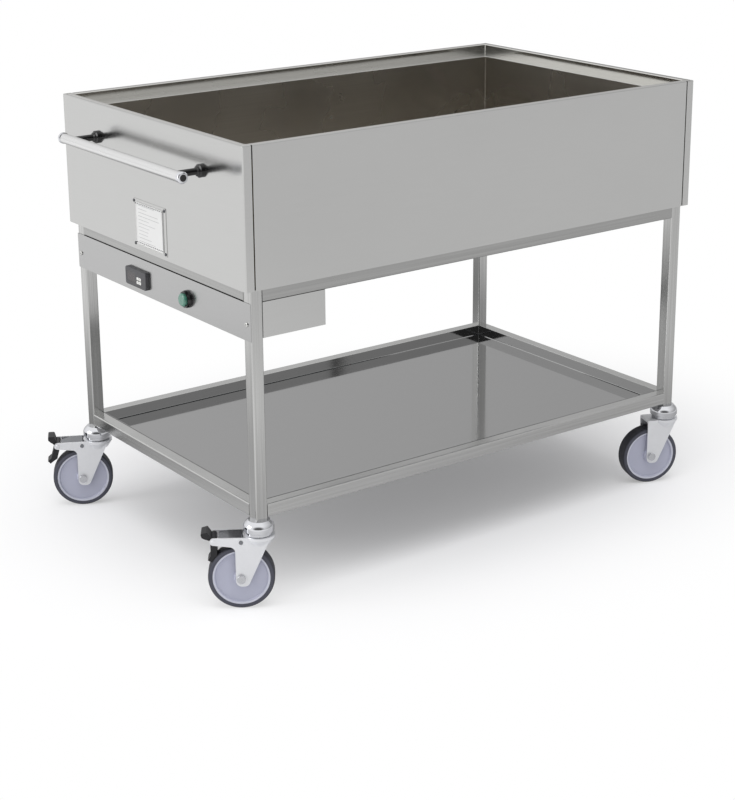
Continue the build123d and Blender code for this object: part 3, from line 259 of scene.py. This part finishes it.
def ground_steel(name, code, roughness, along, pitch_mm, length_mm, contrast=0.04, bump_mm=0.003, marks=0.03):
    """Stainless steel ground with a belt. The letters in along name the axes that the scratches follow."""
    material = bpy.data.materials.new(name)
    tree = empty_tree(material)
    across = 1000 / pitch_mm
    stretch = [1000 / length_mm if axis in along else across for axis in "XYZ"]
    hand_mark_mm = 200
    base = linear(code)
    light = [min(part * (1 + contrast), 1) for part in base[:3]] + [1]
    dark = [part * (1 - contrast) for part in base[:3]] + [1]
    place = add_node(tree, "ShaderNodeTexCoord")
    drawn = add_node(tree, "ShaderNodeMapping", {"Scale": stretch}, {"Vector": (place, "Object")})
    grain = add_node(
        tree, "ShaderNodeTexNoise", {"Scale": 1.0, "Detail": 4.0, "Roughness": 0.7}, {"Vector": (drawn, 0)}
    )
    smudge = add_node(
        tree,
        "ShaderNodeTexNoise",
        {"Scale": 1000 / hand_mark_mm, "Detail": 3.0},
        {"Vector": (place, "Object")},
    )
    tint = add_node(tree, "ShaderNodeMix", {"data_type": "RGBA", 6: dark, 7: light}, {0: (grain, "Fac")})
    spread = add_node(
        tree,
        "ShaderNodeMapRange",
        {"From Min": 0.3, "From Max": 0.7, "To Min": roughness - marks, "To Max": roughness + marks},
        {"Value": (smudge, "Fac")},
    )
    relief = add_node(
        tree, "ShaderNodeBump", {"Strength": 0.5, "Distance": bump_mm * MM}, {"Height": (grain, "Fac")}
    )
    steel = add_node(
        tree,
        "ShaderNodeBsdfPrincipled",
        {"Metallic": 1.0},
        {"Base Color": (tint, 2), "Roughness": (spread, 0), "Normal": (relief, 0)},
    )
    add_node(tree, "ShaderNodeOutputMaterial", {}, {"Surface": (steel, 0)})
    return material


# Satin ground stainless steel: a soft grey that mirrors what is close, blurred, as the handle in the end
# panel. The real scratches are finer than a pixel and are drawn 1.5 mm apart, so that they just show.
satin_sheet = ground_steel("satin_ground_stainless_sheet", "c8c8c7", 0.18, "XY", 1.5, 90)
dress(["end_panel_left", "end_panel_right", "front_panel", "back_panel"], satin_sheet)

# Well and rim
# The well is one deep-folded pan with a flat frame welded on its mouth, where the rims of the food pans hang.
# Four mitred strips, folded like a shallow Z, close the step between that ledge and the skin.
# The pan's steel has the warm, dark tone of a metal that sees mostly itself, and its grain runs round it.
well_steel = ground_steel(
    "satin_ground_stainless_pan", "bfbbb4", 0.27, "XY", 4.0, 300, contrast=0.1, bump_mm=0.001
)
dress(["well"], well_steel)
# The ledge's steel is painted lighter than the skin's: a painted highlight of the light it catches from
# above. The rim's strips are smoother, so their walls mirror the dark pan, and their steel is painted lighter
# still: a painted highlight.
dress(["well_ledge"], ground_steel("ground_stainless_ledge_painted_light", "d0cfcb", 0.26, "XY", 2.0, 200))
dress(["well_rim"], ground_steel("fine_ground_stainless_rim_painted_light", "dddcd8", 0.15, "XY", 2.0, 200))


# Heating and insulation
# A silicone heating mat is bonded under the well and a thin steel probe reads its heat. Rigid foam boards lie
# round the pan, and a plain galvanised sheet, screwed to the frame, closes the tank below.
def moulded(name, code, roughness, grit_mm, bump_mm=0.03, contrast=0.08, coat=0.0, metallic=0.0):
    """Plastic, rubber or paint with the fine texture that its mould or its drying left."""
    material = bpy.data.materials.new(name)
    tree = empty_tree(material)
    base = linear(code)
    light = [min(part * (1 + contrast), 1) for part in base[:3]] + [1]
    dark = [part * (1 - contrast) for part in base[:3]] + [1]
    cloud_mm = 25
    place = add_node(tree, "ShaderNodeTexCoord")
    grit = add_node(
        tree, "ShaderNodeTexNoise", {"Scale": 1000 / grit_mm, "Detail": 3.0}, {"Vector": (place, "Object")}
    )
    cloud = add_node(
        tree, "ShaderNodeTexNoise", {"Scale": 1000 / cloud_mm, "Detail": 2.0}, {"Vector": (place, "Object")}
    )
    tint = add_node(tree, "ShaderNodeMix", {"data_type": "RGBA", 6: dark, 7: light}, {0: (cloud, "Fac")})
    sheen = add_node(
        tree,
        "ShaderNodeMapRange",
        {"To Min": roughness * 0.85, "To Max": min(roughness * 1.15, 1)},
        {"Value": (cloud, "Fac")},
    )
    relief = add_node(
        tree, "ShaderNodeBump", {"Strength": 0.6, "Distance": bump_mm * MM}, {"Height": (grit, "Fac")}
    )
    body = add_node(
        tree,
        "ShaderNodeBsdfPrincipled",
        {"Coat Weight": coat, "Coat Roughness": 0.06, "Metallic": metallic},
        {"Base Color": (tint, 2), "Roughness": (sheen, 0), "Normal": (relief, 0)},
    )
    add_node(tree, "ShaderNodeOutputMaterial", {}, {"Surface": (body, 0)})
    return material


# Silicone rubber: dull brick red, with the faint weave of its glass cloth, drawn 3 mm coarse.
dress(["heating_mat"], moulded("glass_cloth_silicone", "9a4630", 0.6, 3.0, bump_mm=0.2))
# Polyurethane foam: pale straw and matt, with open cells of about 2 mm where it was cut.
dress(["insulation"], moulded("cut_polyurethane_foam", "dccfa0", 0.95, 2.0, bump_mm=0.6, contrast=0.12))
# The probe's sleeve is drawn stainless tube, brighter than the pan.
dress(["temperature_probe"], ground_steel("drawn_stainless_sleeve", "c6c6c4", 0.25, "X", 0.8, 30))

# Galvanised sheet: a cool grey with flat crystals, each of which mirrors a little more or less than the next.
SPANGLE_MM = 14
galvanised = bpy.data.materials.new("galvanised_sheet")
tree = empty_tree(galvanised)
place = add_node(tree, "ShaderNodeTexCoord")
spangle = add_node(tree, "ShaderNodeTexVoronoi", {"Scale": 1000 / SPANGLE_MM}, {"Vector": (place, "Object")})
crystal = add_node(tree, "ShaderNodeSeparateColor", {}, {0: (spangle, "Color")})
tint = add_node(
    tree,
    "ShaderNodeMix",
    {"data_type": "RGBA", 6: linear("868a8e"), 7: linear("a2a6aa")},
    {0: (crystal, 0)},
)
frost = add_node(tree, "ShaderNodeMapRange", {"To Min": 0.35, "To Max": 0.55}, {"Value": (crystal, 1)})
sheet = add_node(
    tree,
    "ShaderNodeBsdfPrincipled",
    {"Metallic": 1.0},
    {"Base Color": (tint, 2), "Roughness": (frost, 0)},
)
add_node(tree, "ShaderNodeOutputMaterial", {}, {"Surface": (sheet, 0)})
dress(["bottom_cover"], galvanised)


# Drain
# A stainless spigot is welded into the well's floor and carries a nickel-plated ball valve on its thread. The
# lever is a pressed steel strip, dipped in red plastic, that turns the ball by a quarter turn.
def plated(name, code, roughness, smear=0.03, ripple_mm=0.0, metallic=1.0):
    """Plated or polished metal: a mirror with faint smears, and the ripple of the pressed metal below."""
    material = bpy.data.materials.new(name)
    tree = empty_tree(material)
    base = linear(code)
    dull_share = 0.93
    dull = [part * dull_share for part in base[:3]] + [1]
    smear_mm = 18
    place = add_node(tree, "ShaderNodeTexCoord")
    wiped = add_node(
        tree, "ShaderNodeTexNoise", {"Scale": 1000 / smear_mm, "Detail": 4.0}, {"Vector": (place, "Object")}
    )
    tint = add_node(tree, "ShaderNodeMix", {"data_type": "RGBA", 6: dull, 7: base}, {0: (wiped, "Fac")})
    spread = add_node(
        tree,
        "ShaderNodeMapRange",
        {"From Min": 0.35, "From Max": 0.75, "To Min": roughness, "To Max": roughness + smear},
        {"Value": (wiped, "Fac")},
    )
    relief = add_node(
        tree, "ShaderNodeBump", {"Strength": 0.4, "Distance": ripple_mm * MM}, {"Height": (wiped, "Fac")}
    )
    metal = add_node(
        tree,
        "ShaderNodeBsdfPrincipled",
        {"Metallic": metallic},
        {"Base Color": (tint, 2), "Roughness": (spread, 0), "Normal": (relief, 0)},
    )
    add_node(tree, "ShaderNodeOutputMaterial", {}, {"Surface": (metal, 0)})
    return material


# Turned stainless: a quiet grey with fine rings round its axis.
dress(["drain_outlet"], ground_steel("turned_stainless_spigot", "c4c4c2", 0.24, "XY", 0.8, 20))
# Nickel plate on cast brass: warm grey and satin, with the soft ripple of the casting.
dress(["drain_valve"], plated("nickel_plated_brass", "c9c4b8", 0.22, smear=0.08, ripple_mm=0.15))
# Dipped vinyl: thick, glossy and red, with no sharp edge left.
dress(["drain_lever"], moulded("dipped_red_vinyl", "a8201c", 0.3, 6.0, bump_mm=0.1, coat=0.4))

# Frame
# Four legs and eight rails of 25 mm square stainless tube, cut square, welded and ground flush. The scratches
# run along each tube, so legs and rails catch the light in different ways.
# The belt leaves long streaks, drawn 4 mm apart where the real ones lie closer.
# The legs' steel is painted a little darker than the lower rails' steel: painted shade.
dress(["legs"], ground_steel("ground_stainless_upright_tube_painted_shade", "c2c2c1", 0.18, "Z", 4.0, 500, contrast=0.3))
lower_tube = ground_steel("ground_stainless_lower_tube", "c9c9c8", 0.2, "XY", 4.0, 500, contrast=0.22)
dress(["lower_rails"], lower_tube)
# The upper rails sit close under the tank, and their steel is painted darker than the lower rails': painted
# shade from the tank above. They are also less polished.
upper_tube = ground_steel("ground_stainless_upper_tube_painted_shade", "aeaead", 0.26, "XY", 4.0, 500, contrast=0.2)
dress(["upper_rails"], upper_tube)

# Shelf
# One tray of thin stainless sheet, its edges folded up and welded inside the lower rails. It keeps the mill's
# bright finish, so it mirrors the legs and the tank's dark underside, drawn out a little along the sheet.
# Its steel is also painted darker than the skin's: painted shade from the tank above it.
painted_shade_bright_sheet = ground_steel(
    "bright_rolled_stainless_painted_shade", "b0b0b0", 0.07, "X", 1.5, 200, contrast=0.03, marks=0.02
)
dress(["shelf_tray"], painted_shade_bright_sheet)

# Handle
# A satin stainless tube, closed by two turned and chromed caps, on two glossy black plastic standoffs that
# are screwed through the end panel.
# The tube is the brightest steel on the cart, with fine scratches along it.
dress(["handle_tube"], ground_steel("satin_ground_handle_tube", "e4e4e4", 0.26, "Y", 1.0, 60))
# Bright chrome: a sharp white and black mirror, faintly blue.
chrome = plated("bright_chrome", "e3e4e8", 0.04, smear=0.03)
dress(["handle_end_caps"], chrome)
# Polished black thermoplastic: nearly black, with clear white highlights on its round edges.
gloss_black = moulded("polished_black_thermoplastic", "0c0c0d", 0.18, 8.0, bump_mm=0.02, coat=0.2)
dress(["handle_standoffs"], gloss_black)


def finish_piece(piece, name, material, body):
    """Names a modelled piece, settles its place in its mesh, and gives it its finish and its body."""
    piece.name = name
    bpy.ops.object.select_all(action="DESELECT")
    piece.select_set(True)
    bpy.context.view_layer.objects.active = piece
    bpy.ops.object.transform_apply(location=True, rotation=True, scale=True)
    bpy.ops.object.mode_set(mode="EDIT")
    bpy.ops.mesh.select_all(action="SELECT")
    bpy.ops.mesh.normals_make_consistent(inside=False)
    bpy.ops.object.mode_set(mode="OBJECT")
    piece.data.materials.append(material)
    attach(piece, body)


def stud(centre, outwards, radius, height):
    """A low round head with a soft edge, standing on the face at its centre."""
    bpy.ops.object.select_all(action="DESELECT")
    bpy.ops.mesh.primitive_cylinder_add(vertices=48, radius=radius, depth=height)
    head = bpy.context.object
    bpy.ops.object.mode_set(mode="EDIT")
    bpy.ops.mesh.select_all(action="DESELECT")
    bpy.ops.object.mode_set(mode="OBJECT")
    for face in head.data.polygons:
        face.select = face.normal.z > 0.9
    bpy.ops.object.mode_set(mode="EDIT")
    bpy.ops.mesh.bevel(offset=0.6 * height, segments=4, affect="EDGES")
    bpy.ops.object.mode_set(mode="OBJECT")
    facing_out = outwards.to_track_quat("Z", "Y").to_matrix().to_4x4()
    head.matrix_world = Matrix.Translation(centre + height / 2 * outwards) @ facing_out
    return head


# Each cap's middle is closed by a small smoked disc over the screw that draws the cap into the tube.
CAP_DISC_RADIUS = 6.5 * MM
CAP_DISC_HEIGHT = 0.5 * MM
caps_low, caps_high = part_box("handle_end_caps")
cap_x = (caps_low[0] + caps_high[0]) / 2
cap_z = (caps_low[2] + caps_high[2]) / 2
for end, end_y, side in (("front", caps_low[1], -1), ("back", caps_high[1], 1)):
    disc = stud(Vector((cap_x, end_y, cap_z)), Vector((0, side, 0)), CAP_DISC_RADIUS, CAP_DISC_HEIGHT)
    finish_piece(disc, f"cap_disc_{end}", gloss_black, "chassis")

# Data plate
# A thin metal plate on four blind rivets. A white field is printed on it, with plain rules and dashes in the
# places of text. Nothing is written there.
# Satin metal: the same soft grey as the panel behind it. It shows as a narrow edge round the print.
dress(["data_plate"], ground_steel("satin_data_plate", "c8c8c7", 0.18, "Y", 1.5, 90))
# Blind rivets: dark anodised aluminium domes.
dress(["plate_rivets"], plated("dark_anodised_aluminium", "55565a", 0.3, smear=0.08))

PRINT_WIDTH = 101 * MM
PRINT_HEIGHT = 82 * MM
PRINT_THICKNESS = 0.12 * MM
PRINT_CORNER = 2 * MM
plate_low, plate_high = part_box("data_plate")
plate_face = plate_low[0]
plate_middle = (plate_low[1] + plate_high[1]) / 2
plate_centre_z = (plate_low[2] + plate_high[2]) / 2


def rounded_card(centre, thickness, width, height, corner):
    """A thin card that faces along X, with its four corners rounded."""
    bpy.ops.object.select_all(action="DESELECT")
    bpy.ops.mesh.primitive_cube_add(size=1, location=centre)
    card = bpy.context.object
    card.scale = (thickness, width, height)
    bpy.ops.object.transform_apply(location=True, rotation=True, scale=True)
    for edge in card.data.edges:
        first, second = [card.data.vertices[index].co for index in edge.vertices]
        edge.select = abs(first.x - second.x) > thickness / 2
    for face in card.data.polygons:
        face.select = False
    bpy.ops.object.mode_set(mode="EDIT")
    bpy.ops.mesh.select_mode(type="EDGE")
    bpy.ops.mesh.bevel(offset=corner, segments=6, affect="EDGES")
    bpy.ops.object.mode_set(mode="OBJECT")
    return card


# Screen-printed white lacquer: matt and light, with thin grey rules. Row by row the rules have other lengths,
# and a dashed dark line closes the field above and below.
RULE_PITCH = 7 * MM
RULE_SHARE = 0.16
RULE_INK = 0.4
RULE_MARGIN = 0.42 * PRINT_WIDTH
SHORTEST_RULE_END = -0.1 * PRINT_WIDTH
DASH_PITCH = 7 * MM
DASH_SHARE = 0.6
DASH_ROW_HEIGHT = 0.465 * PRINT_HEIGHT
DASH_HALF_THICKNESS = 0.9 * MM
print_white = bpy.data.materials.new("screen_printed_white_lacquer")
tree = empty_tree(print_white)
place = add_node(tree, "ShaderNodeTexCoord")
from_middle = add_node(
    tree,
    "ShaderNodeVectorMath",
    {"operation": "SUBTRACT", 1: (0, plate_middle, plate_centre_z)},
    {0: (place, "Object")},
)
axes = add_node(tree, "ShaderNodeSeparateXYZ", {}, {0: (from_middle, 0)})
row = add_node(tree, "ShaderNodeMath", {"operation": "DIVIDE", 1: RULE_PITCH}, {0: (axes, "Z")})
row_number = add_node(tree, "ShaderNodeMath", {"operation": "FLOOR"}, {0: (row, 0)})
row_share = add_node(tree, "ShaderNodeMath", {"operation": "FRACT"}, {0: (row, 0)})
on_rule = add_node(tree, "ShaderNodeMath", {"operation": "LESS_THAN", 1: RULE_SHARE}, {0: (row_share, 0)})
chance = add_node(tree, "ShaderNodeTexWhiteNoise", {"noise_dimensions": "1D"}, {"W": (row_number, 0)})
reach = add_node(
    tree,
    "ShaderNodeMapRange",
    {"To Min": SHORTEST_RULE_END, "To Max": RULE_MARGIN},
    {"Value": (chance, "Value")},
)
from_left = add_node(tree, "ShaderNodeMath", {"operation": "MULTIPLY", 1: -1.0}, {0: (axes, "Y")})
within = add_node(tree, "ShaderNodeMath", {"operation": "LESS_THAN"}, {0: (from_left, 0), 1: (reach, 0)})
inside_margin = add_node(
    tree, "ShaderNodeMath", {"operation": "GREATER_THAN", 1: -RULE_MARGIN}, {0: (from_left, 0)}
)
rule = add_node(tree, "ShaderNodeMath", {"operation": "MULTIPLY"}, {0: (on_rule, 0), 1: (within, 0)})
rule = add_node(tree, "ShaderNodeMath", {"operation": "MULTIPLY"}, {0: (rule, 0), 1: (inside_margin, 0)})
faint = add_node(tree, "ShaderNodeMath", {"operation": "MULTIPLY", 1: RULE_INK}, {0: (rule, 0)})
dash = add_node(tree, "ShaderNodeMath", {"operation": "DIVIDE", 1: DASH_PITCH}, {0: (axes, "Y")})
dash_share = add_node(tree, "ShaderNodeMath", {"operation": "FRACT"}, {0: (dash, 0)})
on_dash = add_node(
    tree, "ShaderNodeMath", {"operation": "LESS_THAN", 1: DASH_SHARE}, {0: (dash_share, 0)}
)
height = add_node(tree, "ShaderNodeMath", {"operation": "ABSOLUTE"}, {0: (axes, "Z")})
edge_band = add_node(
    tree,
    "ShaderNodeMath",
    {"operation": "COMPARE", 1: DASH_ROW_HEIGHT, 2: DASH_HALF_THICKNESS},
    {0: (height, 0)},
)
dashes = add_node(tree, "ShaderNodeMath", {"operation": "MULTIPLY"}, {0: (on_dash, 0), 1: (edge_band, 0)})
ink = add_node(tree, "ShaderNodeMath", {"operation": "MAXIMUM"}, {0: (faint, 0), 1: (dashes, 0)})
tint = add_node(
    tree, "ShaderNodeMix", {"data_type": "RGBA", 6: linear("dededd"), 7: linear("3c3c40")}, {0: (ink, 0)}
)
lacquer = add_node(tree, "ShaderNodeBsdfPrincipled", {"Roughness": 0.42}, {"Base Color": (tint, 2)})
add_node(tree, "ShaderNodeOutputMaterial", {}, {"Surface": (lacquer, 0)})
field = rounded_card(
    (plate_face - PRINT_THICKNESS / 2, plate_middle, plate_centre_z),
    PRINT_THICKNESS,
    PRINT_WIDTH,
    PRINT_HEIGHT,
    PRINT_CORNER,
)
finish_piece(field, "plate_print", print_white, "chassis")

# Control panel and its housing
# A folded stainless cover, screwed to the two left legs, carries the controls. A sheet housing behind it
# keeps the wiring, and a dark polyamide gland is set in its back.
# The cover is ground a little coarser than the tank, and its steel is painted slightly darker: painted shade.
dress(["control_panel"], ground_steel("satin_ground_cover_painted_shade", "b9b9b9", 0.24, "XY", 1.5, 90))
dress(["control_housing"], satin_sheet)
# Polished stainless screw heads: small bright mirrors with a dark slot.
dress(["panel_screws"], plated("polished_stainless_screw", "dcdcda", 0.08))
# Polyamide: dull and dark, with a fine moulded grain.
dress(["cable_gland"], moulded("dark_polyamide", "2c2c2e", 0.5, 0.8, bump_mm=0.05))

# Thermostat
# A snap-in case of dark grey plastic with a smoked window on the left, where three figures light up, and four
# white soft-touch keys on the right. It is pushed into a cut-out of the panel from the front.
# Fine-textured ABS: dark grey and dull, as the grain breaks its gloss.
case_grey = moulded("fine_textured_dark_abs", "454548", 0.42, 0.9, bump_mm=0.04, contrast=0.1)
dress(["thermostat_case"], case_grey)
# Smoked acrylic: a dark, clean gloss.
dress(["thermostat_window"], moulded("smoked_acrylic", "2b292b", 0.08, 10.0, bump_mm=0.004, coat=0.3))
# Soft-touch plastic: white and matt, without a clear highlight.
key_white = moulded("white_soft_touch_keys", "e9e9e6", 0.5, 0.8, bump_mm=0.02, contrast=0.03)
KEYS = ("up", "down", "set", "power")
dress([f"thermostat_key_{key}" for key in KEYS], key_white)

# The unlit figures show through the real window, a shade lighter than it. This window is modelled opaque, so
# they are laid on its face.
FIGURES = 3
FIGURE_PITCH = 9.0 * MM
FIGURE_WIDTH = 4.6 * MM
FIGURE_HEIGHT = 10.0 * MM
STROKE = 1.1 * MM
SEGMENT_GAP = 0.4 * MM
SEGMENT_DEPTH = 0.06 * MM
FIGURE_SLANT = 0.12
window_low, window_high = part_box("thermostat_window")
window_face = window_low[0]
window_middle = (window_low[1] + window_high[1]) / 2
window_centre_z = (window_low[2] + window_high[2]) / 2
segment_grey = moulded("unlit_display_segments", "5f5558", 0.3, 2.0, bump_mm=0.004)
half_height = FIGURE_HEIGHT / 2
across_length = FIGURE_WIDTH - STROKE - 2 * SEGMENT_GAP
upright_length = half_height - STROKE - 2 * SEGMENT_GAP
side = FIGURE_WIDTH / 2 - STROKE / 2
bars = [(0, row * (half_height - STROKE / 2), across_length, STROKE) for row in (-1, 0, 1)]
upright_z = (half_height - STROKE / 2) / 2
bars += [(y, row * upright_z, STROKE, upright_length) for y in (-side, side) for row in (-1, 1)]
segments = []
for figure in range(FIGURES):
    figure_y = window_middle + (figure - (FIGURES - 1) / 2) * FIGURE_PITCH
    for bar_y, bar_z, width, height in bars:
        centre = (
            window_face - SEGMENT_DEPTH / 2,
            figure_y + bar_y - FIGURE_SLANT * bar_z,
            window_centre_z + bar_z,
        )
        segments.append(rounded_card(centre, SEGMENT_DEPTH, width, height, 0.4 * STROKE))
bpy.ops.object.select_all(action="DESELECT")
for segment in segments:
    segment.select_set(True)
bpy.context.view_layer.objects.active = segments[0]
bpy.ops.object.join()
finish_piece(segments[0], "display_figures", segment_grey, "chassis")

# Each key has a small dark mark: an arrowhead up or down, a hexagon to set, and a square for power.
MARK_SIZE = 2.2 * MM
MARK_DEPTH = 0.08 * MM
# Pad-printed ink: dark and matt.
mark_ink = moulded("dark_pad_printed_ink", "2e2e32", 0.5, 1.0, bump_mm=0.004)
MARK_SHAPES = {"up": (3, 90), "down": (3, -90), "set": (6, 0), "power": (4, 45)}
for key, (corners, turn) in MARK_SHAPES.items():
    key_low, key_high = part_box(f"thermostat_key_{key}")
    key_y = (key_low[1] + key_high[1]) / 2
    key_z = (key_low[2] + key_high[2]) / 2
    bpy.ops.object.select_all(action="DESELECT")
    bpy.ops.mesh.primitive_cylinder_add(
        vertices=corners,
        radius=MARK_SIZE / 2,
        depth=MARK_DEPTH,
        location=(key_low[0] - MARK_DEPTH / 2, key_y, key_z),
        rotation=(math.radians(turn), math.radians(90), 0),
    )
    mark = bpy.context.object
    bpy.ops.object.mode_set(mode="EDIT")
    bpy.ops.mesh.select_all(action="SELECT")
    bpy.ops.mesh.bevel(offset=MARK_DEPTH / 3, segments=2, affect="EDGES")
    bpy.ops.object.mode_set(mode="OBJECT")
    finish_piece(mark, f"key_mark_{key}", mark_ink, f"key_{key}")

# Green switch
# A pressed-in lamp switch: a black moulded collar with a translucent green lens, domed so that it shows its
# light from the side. The lens travels in when it is pressed.
dress(["switch_collar"], gloss_black)
# Green polycarbonate: deep green below a clear gloss. The middle of each moulded prism is painted lighter: a
# painted highlight of the light the prisms catch.
PRISM_MM = 2.2
lens_green = bpy.data.materials.new("green_polycarbonate_lens")
tree = empty_tree(lens_green)
place = add_node(tree, "ShaderNodeTexCoord")
prisms = add_node(
    tree,
    "ShaderNodeTexVoronoi",
    {"Scale": 1000 / PRISM_MM, "distance": "CHEBYCHEV", "Randomness": 0.0},
    {"Vector": (place, "Object")},
)
tint = add_node(
    tree,
    "ShaderNodeMix",
    {"data_type": "RGBA", 6: linear("4f9a82"), 7: linear("1c4a3c")},
    {0: (prisms, "Distance")},
)
relief = add_node(
    tree, "ShaderNodeBump", {"Strength": 0.3, "Distance": 0.1 * MM}, {"Height": (prisms, "Distance")}
)
lens = add_node(
    tree,
    "ShaderNodeBsdfPrincipled",
    {"Roughness": 0.2, "IOR": 1.58, "Coat Weight": 1.0, "Coat Roughness": 0.03, "Transmission Weight": 0.15},
    {"Base Color": (tint, 2), "Normal": (relief, 0)},
)
add_node(tree, "ShaderNodeOutputMaterial", {}, {"Surface": (lens, 0)})
dress(["switch_button"], lens_green)

# Caster heads and forks
# Each head is a chromed ball race under a plug that is driven into the leg. The fork below it is pressed from
# one thick steel sheet and zinc plated, and carries a bolt as the wheel's axle.
CORNERS = ("front_left", "back_left", "front_right", "back_right")
dress([f"caster_{corner}_head" for corner in CORNERS], chrome)
# Bright zinc under a thin clear passivation: nearly white, slightly blue, half mirror and half matt, with the
# soft ripple of the pressing.
zinc = plated("passivated_bright_zinc", "f4f5f8", 0.3, smear=0.08, ripple_mm=0.06, metallic=0.6)
dress([f"caster_{corner}_fork" for corner in CORNERS], zinc)
# The bolt's zinc is smoother than the fork's, so its head mirrors more.
dress([f"caster_{corner}_axle" for corner in CORNERS], plated("zinc_plated_bolt", "dfe0e4", 0.18, smear=0.08))

# Brakes
# The two left casters have a pressed steel cover plate, riveted between the fork's cheeks, and a black
# glass-filled plastic pedal that turns on a pin and pushes its shoe on the tyre.
BRAKED = CORNERS[:2]
# Nickel plate: a darker, greyer mirror than the chrome above it.
cover_plate = plated("nickel_plate", "8f9196", 0.16, smear=0.1)
dress([f"caster_{corner}_brake_plate" for corner in BRAKED], cover_plate)
# The pin's ends are closed by small domed caps of the same zinc as the fork.
FORK_OUTER_HALF = 21.5 * MM
PIN_CAP_RADIUS = 4.2 * MM
PIN_CAP_HEIGHT = 1.6 * MM
PIN_CAP_SINK = 0.2 * MM
for corner in BRAKED:
    pin = next(joint for joint in frame["joints"] if joint["name"] == f"{corner}_brake_press")
    for side, side_name in ((-1, "a"), (1, "b")):
        outwards = side * Vector(pin["axis"]).normalized()
        foot = Vector(pin["pos_m"]) + (FORK_OUTER_HALF - PIN_CAP_SINK) * outwards
        cap = stud(foot, outwards, PIN_CAP_RADIUS, PIN_CAP_HEIGHT)
        finish_piece(cap, f"pin_cap_{corner}_{side_name}", zinc, f"{corner}_fork")
# Glass-filled polyamide: black, dull, with a fine moulded grain.
pedal_black = moulded("glass_filled_polyamide", "1c1c1f", 0.45, 0.9, bump_mm=0.08, contrast=0.15)
dress([f"caster_{corner}_brake_pedal" for corner in BRAKED], pedal_black)

# Wheels
# A moulded polyamide centre, bluish grey, with a hub, a thin disc and a lip. A dark grey, non-marking rubber
# tyre is moulded round it, a little paler on its sides than on its tread.
# The lip is painted lighter than the disc: a painted highlight where the lip catches the light.
LIP_INNER = 50.6 * MM
SIDE_OUTER = 60.5 * MM
LIP_BLEND = 0.9 * MM
DISC_GREY = "b3b5c6"
LIP_PAINTED_HIGHLIGHT_GREY = "cfd1dd"
SIDE_GREY = "4a4b56"
TREAD_GREY = "36373f"


def round_material(name, corner, inner_code, outer_code, change, roughness, grit_mm, bump_mm):
    """Moulded stuff that changes colour at a radius from the axle of a corner's wheel."""
    axle_low, axle_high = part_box(f"caster_{corner}_axle")
    axle = [(low + high) / 2 for low, high in zip(axle_low, axle_high)]
    turning = next(joint for joint in frame["joints"] if joint["name"] == f"{corner}_roll")
    direction = Vector(turning["axis"]).normalized()
    material = bpy.data.materials.new(f"{name}_{corner}")
    tree = empty_tree(material)
    place = add_node(tree, "ShaderNodeTexCoord")
    arm = add_node(
        tree, "ShaderNodeVectorMath", {"operation": "SUBTRACT", 1: axle}, {0: (place, "Object")}
    )
    sideways = add_node(tree, "ShaderNodeVectorMath", {"operation": "PROJECT", 1: direction}, {0: (arm, 0)})
    spoke = add_node(tree, "ShaderNodeVectorMath", {"operation": "SUBTRACT"}, {0: (arm, 0), 1: (sideways, 0)})
    radius = add_node(tree, "ShaderNodeVectorMath", {"operation": "LENGTH"}, {0: (spoke, 0)})
    step = add_node(
        tree,
        "ShaderNodeMapRange",
        {"From Min": change - LIP_BLEND, "From Max": change + LIP_BLEND},
        {"Value": (radius, "Value")},
    )
    tint = add_node(
        tree,
        "ShaderNodeMix",
        {"data_type": "RGBA", 6: linear(inner_code), 7: linear(outer_code)},
        {0: (step, 0)},
    )
    grit = add_node(
        tree, "ShaderNodeTexNoise", {"Scale": 1000 / grit_mm, "Detail": 3.0}, {"Vector": (place, "Object")}
    )
    sheen = add_node(
        tree,
        "ShaderNodeMapRange",
        {"To Min": roughness - 0.08, "To Max": roughness + 0.08},
        {"Value": (grit, "Fac")},
    )
    relief = add_node(
        tree, "ShaderNodeBump", {"Strength": 0.6, "Distance": bump_mm * MM}, {"Height": (grit, "Fac")}
    )
    body = add_node(
        tree,
        "ShaderNodeBsdfPrincipled",
        {},
        {"Base Color": (tint, 2), "Roughness": (sheen, 0), "Normal": (relief, 0)},
    )
    add_node(tree, "ShaderNodeOutputMaterial", {}, {"Surface": (body, 0)})
    return material


for corner in CORNERS:
    dress(
        [f"caster_{corner}_rim"],
        round_material("moulded_grey_polyamide", corner, DISC_GREY, LIP_PAINTED_HIGHLIGHT_GREY, LIP_INNER, 0.42, 1.5, 0.03),
    )
    dress(
        [f"caster_{corner}_tyre"],
        round_material("non_marking_rubber", corner, SIDE_GREY, TREAD_GREY, SIDE_OUTER, 0.62, 1.2, 0.1),
    )
